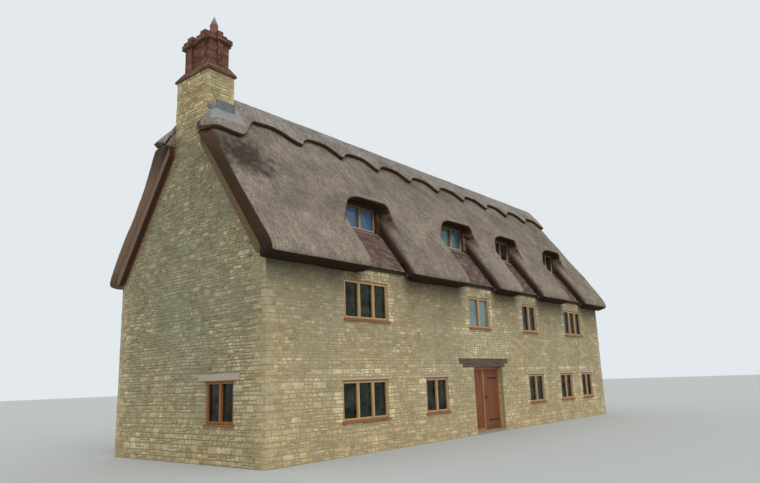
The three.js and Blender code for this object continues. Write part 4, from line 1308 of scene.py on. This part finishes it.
FRAME_PITCH = math.atan(FRAME_RISE)
FRAME_RUN, FRAME_LIFT = math.cos(FRAME_PITCH), math.sin(FRAME_PITCH)
EAVE_FRONT = -0.06
VALLEY_MARGIN = 0.04
TILE_GAUGE, TILE_WIDTH, TILE_LENGTH, TILE_THICKNESS = 0.1, 0.165, 0.2, 0.014
TILE_LIFT, TILE_HEAD_LIFT = 0.034, 0.012
TILE_GAP, TILE_LEAST = 0.002, 0.03
TILE_BEVEL, TILE_UNEVEN, TILE_SKEW = 0.003, 0.003, 0.004
FIRST_FOOT, LAST_FOOT = -0.03, 0.02
LEAD_THICKNESS = 0.006
SILL_LEAD_REACH, SILL_LEAD_BEND = 0.1, 0.05
SILL_LEAD_UP = -0.015
SILL_LEAD_LIFT = 0.045
SILL_LEAD_BEYOND = 0.03
SILL_LEAD_STEPS, SILL_LEAD_RIPPLE = 14, 0.004


def steps(start, end, count):
    return [start + (end - start) * i / count for i in range(count + 1)]


def on_frame(x, along, out):
    """A place on the rafter layer: along is measured up its slope from the eave, out is square to it."""
    y = EAVE_FRONT + along * FRAME_RUN - out * FRAME_LIFT
    return at(x, y, frame_top(EAVE_FRONT) + along * FRAME_LIFT + out * FRAME_RUN)


def build_valley_tiles():
    soup = Soup()
    rng = random.Random(41)
    for centre, window, half in DORMERS:
        reach = (window - EAVE_FRONT) / FRAME_RUN
        left, right = centre - half - VALLEY_MARGIN, centre + half + VALLEY_MARGIN
        row, foot = 0, FIRST_FOOT
        while foot < reach - LAST_FOOT:
            x = left - (TILE_WIDTH / 2 if row % 2 else 0)
            while x < right:
                low, high = max(x, left) + TILE_GAP, min(x + TILE_WIDTH, right) - TILE_GAP
                if high - low > TILE_LEAST:
                    lift = TILE_LIFT + rng.uniform(-TILE_UNEVEN, TILE_UNEVEN)
                    skew, slip = (rng.uniform(-TILE_SKEW, TILE_SKEW) for _ in range(2))
                    tail = foot + slip
                    head = min(tail + TILE_LENGTH, reach)
                    corners = [
                        on_frame(low, tail, lift + skew), on_frame(high, tail, lift - skew),
                        on_frame(high, head, TILE_HEAD_LIFT), on_frame(low, head, TILE_HEAD_LIFT),
                    ]
                    add_slab(soup, corners, TILE_THICKNESS, TILE_BEVEL, rng.random())
                x += TILE_WIDTH
            foot += TILE_GAUGE
            row += 1
    soup.piece("valley_tiles", APRON_TILE, "clay")


def add_sheet(soup, rows, thickness):
    """A bent sheet through rows of equally many points, thickened downwards and closed."""
    count, size = len(rows[0]), len(rows) * len(rows[0])
    top = [Vector(p) for row in rows for p in row]
    down = [p - Vector((0, 0, thickness)) for p in top]
    faces = []
    for a in range(size - count):
        if (a + 1) % count:
            faces.append((a, a + 1, a + 1 + count, a + count))
            faces.append((size + a + count, size + a + 1 + count, size + a + 1, size + a))
    edge = [*range(count), *range(2 * count - 1, size, count)]
    edge += [*range(size - 2, size - count - 1, -1), *range(size - 2 * count, 0, -count)]
    for a, b in zip(edge, edge[1:] + edge[:1]):
        faces.append((b, a, size + a, size + b))
    soup.add(top + down, faces, 0.5)


def build_sill_lead():
    """A lead apron under each dormer window, dressed down over the top tiles."""
    soup = Soup()
    for index, (_, window, _) in enumerate(DORMERS):
        low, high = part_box(f"dormer_window_{index + 1}")
        left, right = low.x - NEAR.x - SILL_LEAD_BEYOND, high.x - NEAR.x + SILL_LEAD_BEYOND
        top = (window - EAVE_FRONT) / FRAME_RUN
        columns = []
        for x in steps(left, right, SILL_LEAD_STEPS):
            ripple = [SILL_LEAD_RIPPLE * noisy(x * 5.0, line, index) for line in range(4)]
            columns.append([
                on_frame(x, top - SILL_LEAD_REACH + 2 * ripple[3], SILL_LEAD_LIFT + ripple[3]),
                on_frame(x, top - SILL_LEAD_BEND, SILL_LEAD_LIFT + ripple[2]),
                at(x, window - 0.012 + ripple[1], low.z - 0.005),
                at(x, window - 0.006 + ripple[0], low.z + SILL_LEAD_UP),
            ])
        add_sheet(soup, list(zip(*columns)), LEAD_THICKNESS)
    soup.piece("dormer_lead", DORMER_LEAD, "cowl_metal")


build_valley_tiles()
build_sill_lead()


# Chimney

BRICK_LENGTH, BRICK_WIDTH, BRICK_HEIGHT = 0.215, 0.1025, 0.065
BRICK_JOINT = 0.01
BRICK_PROUD, BRICK_UNEVEN = 0.004, 0.0015
BRICK_LEAST = 0.05
BRICK_SUNK, BRICK_BEVEL = 0.006, 0.0025
BRICK_SHAFT = ((0.13, 0.735), (2.42, 3.49))
BRICK_FOOT, BRICK_SHAFT_TOP, BRICK_BAND_TOP = 9.888, 10.56, 10.7
BRICK_FOOT_SUNK = 0.06
BASE_EDGE = 0.055
BASE_OVERHANG = 0.05
SHAFT_SPREAD = 0.02
BAND_OVERHANG = 0.07
RIB_TOP = 10.85
RIB_PROUD = 0.055
LONG_RIBS = ((2.5575, 2.7625), (3.1285, 3.3335))
SHORT_RIB = (0.3575, 0.5075)
COWL_RIBS = 8
COWL_RIB_WIDTH = 0.012
COWL_RIB_PROUD = 0.004
COWL_RIB_FOOT = 0.03

# Lead and mortar where the ridge meets the stack
SADDLE_REACH = 0.17
SADDLE_LIFT = 0.02
SADDLE_WAVE = 0.004
SADDLE_LAP, SADDLE_OVER = 0.02, 0.002
SADDLE_THICKNESS = 0.02
SADDLE_NEAR, SADDLE_FAR = 0.03, STACK_DEPTH + 0.13
FILLET_WIDTH = 0.1
FILLET_LIFT, FILLET_WAVE = 0.018, 0.02
FILLET_LAP, FILLET_NEAR = 0.01, SADDLE_NEAR - 0.05
SHEET_STEP = 0.07
STEP_PROUD, STEP_SUNK = 0.03, 0.002

# Stepped pieces of lead let into the joints of the stack: left end, right end and height
UPSTANDS = ((0.0, 0.27, 0.04), (0.26, 0.54, 0.22), (0.53, STACK_DEPTH + 0.03, 0.24))
UPSTAND_SUNK = 0.08


def lay_bricks(soup, start, along, up, width, height, rng, slope=(0.0, 0.0)):
    """Bricks on a flat face. slope is how far each end draws in for each unit of height."""
    start, along, up = Vector(start), Vector(along).normalized(), Vector(up).normalized()
    out = along.cross(up)
    courses = max(1, round(height / (BRICK_HEIGHT + BRICK_JOINT)))
    course = height / courses
    for row in range(courses):
        pitch = (BRICK_WIDTH if row % 2 else BRICK_LENGTH) + BRICK_JOINT
        low, high = row * course + BRICK_JOINT / 2, (row + 1) * course - BRICK_JOINT / 2
        left, right = slope[0] * low, width - slope[1] * low
        joints = [left]
        x = left + pitch * (0.5 if row % 2 else 1.0)
        while x < right - BRICK_LEAST:
            joints.append(x)
            x += pitch
        for a, b in pairwise(joints + [right]):
            first = a - BRICK_PROUD if a == left else a + BRICK_JOINT / 2
            last = b + BRICK_PROUD if b == right else b - BRICK_JOINT / 2
            proud = BRICK_PROUD + rng.uniform(-BRICK_UNEVEN, BRICK_UNEVEN)
            head_first = first + (high - low) * slope[0] if a == left else first
            head_last = last - (high - low) * slope[1] if b == right else last
            corners = [
                start + along * u + up * v + out * proud
                for u, v in ((first, low), (last, low), (head_last, high), (head_first, high))
            ]
            add_slab(soup, [at(*c) for c in corners], BRICK_PROUD + BRICK_SUNK, BRICK_BEVEL, rng.random())


def widened(ends, extra):
    return ends[0] - extra, ends[1] + extra


def brick_box(soup, x, y, z, rng, top=True):
    """Bricks on the four sides of an upright block, and on its top."""
    (x0, x1), (y0, y1), (z0, z1) = x, y, z
    for wall in walls_round(x0, y0, x1, y1):
        lay_bricks(soup, (*wall.start.xy, z0), wall.along, (0, 0, 1), wall.length, z1 - z0, rng)
    if top:
        lay_bricks(soup, (x0, y0, z1), (1, 0, 0), (0, 1, 0), x1 - x0, y1 - y0, rng)


def build_brickwork():
    """The brick shaft with its ribs, and the band round its head."""
    soup = Soup()
    rng = random.Random(51)
    shaft_x, shaft_y = BRICK_SHAFT
    blocks = [(shaft_x, shaft_y, BRICK_BAND_TOP)]
    blocks += [(widened(shaft_x, RIB_PROUD), rib, RIB_TOP) for rib in LONG_RIBS]
    blocks.append((SHORT_RIB, widened(shaft_y, RIB_PROUD), RIB_TOP))
    for x, y, top in blocks:
        brick_box(soup, x, y, (BRICK_FOOT - BRICK_FOOT_SUNK, BRICK_SHAFT_TOP), rng, top=False)
        wide_x, wide_y = widened(x, BAND_OVERHANG), widened(y, BAND_OVERHANG)
        brick_box(soup, wide_x, wide_y, (BRICK_SHAFT_TOP, BRICK_BAND_TOP), rng)
        if top > BRICK_BAND_TOP:
            brick_box(soup, x, y, (BRICK_BAND_TOP, top), rng)
    soup.piece("chimney_bricks", BRICK, "brick")


def build_brick_base():
    """The sloping base under the brick shaft."""
    soup = Soup()
    rng = random.Random(52)
    shaft_x, shaft_y = BRICK_SHAFT
    x0, x1 = widened((0, STACK_DEPTH), BASE_OVERHANG)
    y0, y1 = widened((STACK_FRONT, STACK_REAR), BASE_OVERHANG)
    edge = STACK_TOP + BASE_EDGE
    brick_box(soup, (x0, x1), (y0, y1), (STACK_TOP, edge), rng, top=False)
    near, far = shaft_x[0] - SHAFT_SPREAD - x0, x1 - shaft_x[1] - SHAFT_SPREAD
    front, back = shaft_y[0] - SHAFT_SPREAD - y0, y1 - shaft_y[1] - SHAFT_SPREAD
    insets = [front, far, back, near]
    for i, wall in enumerate(walls_round(x0, y0, x1, y1)):
        inward = wall.out * -insets[i] + Vector((0, 0, BRICK_FOOT - edge))
        slope = insets[i - 1] / inward.length, insets[(i + 1) % 4] / inward.length
        lay_bricks(soup, (*wall.start.xy, edge), wall.along, inward, wall.length, inward.length, rng, slope)
    soup.piece("base_bricks", BRICK_BASE, "brick")


def build_stack_faces():
    """Stones on the three sides of the stack above the roof, and its corner stones."""
    soup = Soup()
    rng = random.Random(61)
    for wall, which in zip(walls_round(*STACK), (0, 1, 0)):
        for bottom, top in pairwise(BEDS):
            if bottom >= STACK_STONES_FROM:
                lay_course(soup, wall, bottom, top, lambda middle, _: stack_corner(middle, which), [], rng,
                           GABLE_STYLE)
    quoins = [quoin for quoin in QUOINS if quoin[0] >= STACK_STONES_FROM]
    add_corner_stones(soup, STACK, quoins, STACK_CORNER, rng, STACK_UNEVEN, lambda: rng.betavariate(2.0, 2.0))
    soup.piece("stack_stonework", STONE_STACK, "stone")


def on_cap(x, y, lift):
    """A place above the surface of the ridge cap, bent with it."""
    spot = droop(np.array([[x, y, cap_top(from_front(y), thinned_at(x))]]))[0]
    return at(spot[0], spot[1], spot[2] + lift)


def lay_on_cap(soup, x0, x1, y0, y1, lift, wave):
    """A sheet that follows the cap over a rectangle seen from above."""
    columns, lines = (max(2, round(size / SHEET_STEP)) for size in (x1 - x0, y1 - y0))
    rows = [
        [on_cap(x, y, lift + wave * noisy(x * 9, y * 9, 3)) for x in steps(x0, x1, columns)]
        for y in steps(y0, y1, lines)
    ]
    add_sheet(soup, rows, SADDLE_THICKNESS + lift)


def build_saddle():
    """A lead sheet over the cap on three sides of the stack, its upstands, and mortar round it."""
    apron, upstand, fillet = Soup(), Soup(), Soup()
    inner, outer = STACK_FRONT + STACK_GAP, STACK_FRONT - SADDLE_REACH
    for y0, y1 in ((outer, inner), (WIDTH - inner, WIDTH - outer)):
        lay_on_cap(apron, SADDLE_NEAR, SADDLE_FAR, y0, y1, SADDLE_LIFT, SADDLE_WAVE)
    front, rear = widened((STACK_FRONT, STACK_REAR), SADDLE_LAP)
    lift = SADDLE_LIFT + SADDLE_OVER
    lay_on_cap(apron, STACK_DEPTH - STACK_GAP, SADDLE_FAR, front, rear, lift, SADDLE_WAVE)
    edge, end = outer - FILLET_WIDTH, SADDLE_FAR + FILLET_WIDTH
    for y0, y1 in ((edge, outer + FILLET_LAP), (WIDTH - outer - FILLET_LAP, WIDTH - edge)):
        lay_on_cap(fillet, FILLET_NEAR, end, y0, y1, FILLET_LIFT, FILLET_WAVE)
    lay_on_cap(fillet, SADDLE_FAR - FILLET_LAP, end, outer, WIDTH - outer, FILLET_LIFT, FILLET_WAVE)
    base = cap_top(STACK_FRONT) - UPSTAND_SUNK
    for left, right, height in UPSTANDS:
        for face, out in ((STACK_FRONT, -1), (STACK_REAR, 1)):
            high = right, face - out * STEP_SUNK, base + UPSTAND_SUNK + height
            add_block(upstand, (left, face + out * STEP_PROUD, base), high)
    apron.piece("saddle_lead", LEAD, "cowl_metal")
    upstand.piece("upstand_lead", LEAD_DARK, "cowl_metal")
    fillet.piece("saddle_mortar", FILLET, "stone")


def build_cowl_ribs():
    """Thin ribs up the sides of the cowl."""
    low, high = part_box("chimney_cowl")
    middle = (low + high) / 2
    foot_radius = (high.x - low.x) / 2
    soup = Soup()
    for i in range(COWL_RIBS):
        angle = 2 * math.pi * (i + 0.5) / COWL_RIBS
        out = Vector((math.cos(angle), math.sin(angle), 0))
        side = Vector((-out.y, out.x, 0)) * COWL_RIB_WIDTH / 2
        foot = Vector((middle.x, middle.y, low.z + COWL_RIB_FOOT)) + out * (foot_radius + COWL_RIB_PROUD)
        head = Vector((middle.x, middle.y, high.z + COWL_RIB_PROUD)) + out * COWL_RIB_PROUD
        add_slab(soup, [foot - side, foot + side, head + side, head - side], 2 * COWL_RIB_PROUD, 0.001, 0.5)
    soup.piece("cowl_ribs", IRON, "cowl_metal")


build_brickwork()
build_cowl_ribs()
build_brick_base()
build_stack_faces()
build_saddle()


# Windows

FRAME_BAR = 0.052
SASH_BAR, SASH_FOOT = 0.040, 1.2
SASH_OVERLAP = 0.026
SASH_PROUD, SASH_BACK = 0.010, 0.048
HEAD_STRIP, HEAD_STRIP_PROUD = 0.022, 0.016
SILL_DEPTH = 0.038
SILL_BEYOND = 0.035
SILL_PROUD = 0.05
SUNK, LINTEL_SUNK = 0.03, 0.02
LINTEL_PROUD, GABLE_LINTEL_PROUD = 0.014, 0.04
SASH_BEVEL, SILL_BEVEL, STRIP_BEVEL, LINTEL_BEVEL = 0.005, 0.006, 0.004, 0.008
WIDE_WINDOW = 1.5


def dress_sashes(sashes, wall, node):
    """The bars of each casement, in front of the frame's own bars."""
    left, right, bottom, top, front = wall.span(node)
    lights = 3 if right - left > WIDE_WINDOW else 2
    pitch = (right - left - FRAME_BAR) / lights
    low, high = bottom + FRAME_BAR - SASH_OVERLAP, top - FRAME_BAR + SASH_OVERLAP
    for i in range(lights):
        near = left + FRAME_BAR + i * pitch - SASH_OVERLAP
        far = left + (i + 1) * pitch + SASH_OVERLAP
        for a, b, c, d in (
            (near, near + SASH_BAR, low, high), (far - SASH_BAR, far, low, high),
            (near + SASH_BAR, far - SASH_BAR, low, low + SASH_FOOT * SASH_BAR),
            (near + SASH_BAR, far - SASH_BAR, high - SASH_BAR, high),
        ):
            add_block(sashes, (a, c, front - SASH_BACK), (b, d, front + SASH_PROUD), SASH_BEVEL, 0.5,
                      wall.place)


def dress_surround(sills, lintels, wall, node):
    """The projecting sill, the strip over the head, and the stone over the window."""
    left, right, bottom, top, front = wall.span(node)
    beyond, height = lintel_of(node)
    proud = GABLE_LINTEL_PROUD if wall is NEAR_GABLE else LINTEL_PROUD
    parts = [(
        sills, (left - SILL_BEYOND, bottom - SILL_DEPTH, front - SUNK),
        (right + SILL_BEYOND, bottom + 0.01, SILL_PROUD), SILL_BEVEL,
    )]
    if height:
        parts += [(
            sills, (left - 0.004, top - HEAD_STRIP, front - SUNK),
            (right + 0.004, top + 0.004, front + HEAD_STRIP_PROUD), STRIP_BEVEL,
        ), (
            lintels, (left - beyond[0], top + 0.005, front - LINTEL_SUNK),
            (right + beyond[1], top + height - 0.006, proud), LINTEL_BEVEL,
        )]
    for soup, low, high, bevel in parts:
        add_block(soup, low, high, bevel, 0.5, wall.place)


def dress_windows():
    sashes, gable_sashes, dormer_sashes, sills, lintels = (Soup() for _ in range(5))
    for wall, nodes in ((FRONT, FRONT_WINDOWS), (REAR, REAR_WINDOWS), (NEAR_GABLE, GABLE_WINDOWS)):
        for node in nodes:
            dress_sashes(gable_sashes if wall is NEAR_GABLE else sashes, wall, node)
            dress_surround(sills, lintels, wall, node)
    for i in range(len(DORMERS)):
        dress_sashes(dormer_sashes, FRONT, f"dormer_window_{i + 1}")
    sashes.piece("window_sashes", SASH, "window_timber")
    gable_sashes.piece("gable_sashes", GABLE_SASH, "window_timber")
    dormer_sashes.piece("dormer_sashes", DORMER_SASH, "window_timber")
    sills.piece("window_sills", SILL_TIMBER, "window_timber")
    lintels.piece("stone_lintels", LINTEL_STONE, "stone")


dress_windows()
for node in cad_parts:
    if "_window" in node:
        paint(DORMER_FRAME if "dormer" in node else WINDOW_FRAME, node)
    elif "_glass" in node:
        paint(GLASS_PAINTED_SKY if "dormer" in node else GLASS_DARK, node)
paint(GLASS_PALE, "upper_glass_2")
paint(GLASS_TEAL, "dormer_glass_2")
paint(GLASS_DARK, "dormer_glass_3", "dormer_glass_4")
paint(GABLE_SASH, "gable_window")


# Door

DOOR_BOARD_COUNT = 5
BOARD_PROUD, BOARD_SUNK = 0.012, 0.004
BOARD_GAP = 0.004
BOARD_BEVEL = 0.005
BOARD_MARGIN = 0.008
EDGE_MARGIN = 0.012
SIDE_PANEL, PANEL_GAPS = 0.636, (0.004, 0.003)
JAMB, HEAD_RAIL = 0.07, 0.08
PANEL_BACK = 0.033
STRAP_SHORT, STRAP_HALF, STRAP_PROUD, STRAP_SUNK, STRAP_BEVEL = 0.25, 0.022, 0.005, 0.001, 0.002
HINGE_LEVELS = (0.36, 1.63)

# The latch: its plate, the stub of its handle and the lever, each with a bevel
LATCH_X, LATCH_Z = 0.078, 1.08
LATCH = (
    ((-0.02, -0.004, -0.1), (0.02, 0.001, 0.08), 0.002),
    ((-0.009, -0.038, -0.01), (0.009, -0.002, 0.01), 0.004),
    ((-0.01, -0.046, -0.015), (0.12, -0.032, 0.015), 0.005),
)


def lay_boards(soup, left, right, bottom, top, front):
    width = (right - left) / DOOR_BOARD_COUNT
    for i in range(DOOR_BOARD_COUNT):
        near, far = left + i * width + BOARD_GAP / 2, left + (i + 1) * width - BOARD_GAP / 2
        add_block(soup, (near, front - BOARD_PROUD, bottom), (far, front + BOARD_SUNK, top), BOARD_BEVEL)


def dress_door():
    low, high = (c - at(0, 0, 0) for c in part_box("front_door"))
    frame_low, frame_high = (c - at(0, 0, 0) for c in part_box("door_frame"))
    right = frame_high.x - JAMB - BOARD_MARGIN - BOARD_MARGIN
    leaf, iron, side = Soup(), Soup(), Soup()
    lay_boards(leaf, low.x + BOARD_MARGIN, right, low.z + EDGE_MARGIN, high.z - EDGE_MARGIN, low.y)
    face = low.y - BOARD_PROUD
    x, z = low.x + LATCH_X, LATCH_Z
    for start, end, bevel in LATCH:
        start, end = ((x + a, face + b, z + c) for a, b, c in (start, end))
        add_block(iron, start, end, bevel)
    for level in HINGE_LEVELS:
        start = low.x + STRAP_SHORT, face - STRAP_PROUD, level - STRAP_HALF
        add_block(iron, start, (right, face + STRAP_SUNK, level + STRAP_HALF), STRAP_BEVEL)
    near = frame_low.x + JAMB
    bottom, top = frame_low.z + HEAD_RAIL + PANEL_GAPS[0], frame_high.z - HEAD_RAIL - PANEL_GAPS[1]
    lay_boards(side, near, near + SIDE_PANEL, bottom, top, frame_low.y + PANEL_BACK)
    leaf.piece("door_boards", DOOR_BOARDS, "door_timber", "front_door")
    iron.piece("door_iron", IRON, "cowl_metal", "front_door")
    side.piece("side_boards", DOOR_BOARDS, "door_timber")


dress_door()
for node, material in {
    "front_door": DOOR_BOARDS, "door_frame": WINDOW_FRAME, "door_lintel": OAK, "ground_floor": SLAB,
    "first_floor": FLOOR_TIMBER, "attic_floor": FLOOR_TIMBER, "roof_frame_front": FRAME_FRONT,
    "roof_frame_rear": FRAME_REAR, "chimney_brickwork": BRICK_MORTAR, "chimney_pot": CLAY,
    "chimney_cowl": COWL,
}.items():
    paint(material, node)


# Stage and light

STAGE_HALF, STAGE_BELOW = 150, 0.002
SKY_STRENGTH = 1.05
SUN_STRENGTH, SUN_SPREAD, SUN_TOWARDS = 0.9, math.radians(50), (0.25, 0.7, -0.85)


def make_stage():
    mesh = bpy.data.meshes.new("floor")
    corners = [(a * STAGE_HALF, b * STAGE_HALF, 0) for a, b in ((-1, -1), (1, -1), (1, 1), (-1, 1))]
    mesh.from_pydata(corners, [], [(0, 1, 2, 3)])
    s = Shade("floor", 0.9, specular=0.1)
    s.colour(rgb(190, 190, 186))
    mesh.materials.append(s.material)
    floor = link("floor", mesh)
    floor.location.z = -STAGE_BELOW

    scene = bpy.context.scene
    scene.world = bpy.data.worlds.new("studio")
    scene.world.use_nodes = True
    background = scene.world.node_tree.nodes["Background"]
    background.inputs["Color"].default_value = rgb(222, 228, 232)
    background.inputs["Strength"].default_value = SKY_STRENGTH

    data = bpy.data.lights.new("soft_sun", "SUN")
    data.energy = SUN_STRENGTH
    data.angle = SUN_SPREAD
    sun = link("soft_sun", data)
    sun.rotation_euler = Vector(SUN_TOWARDS).to_track_quat("-Z", "Y").to_euler()
    scene.view_settings.view_transform = "Standard"


make_stage()
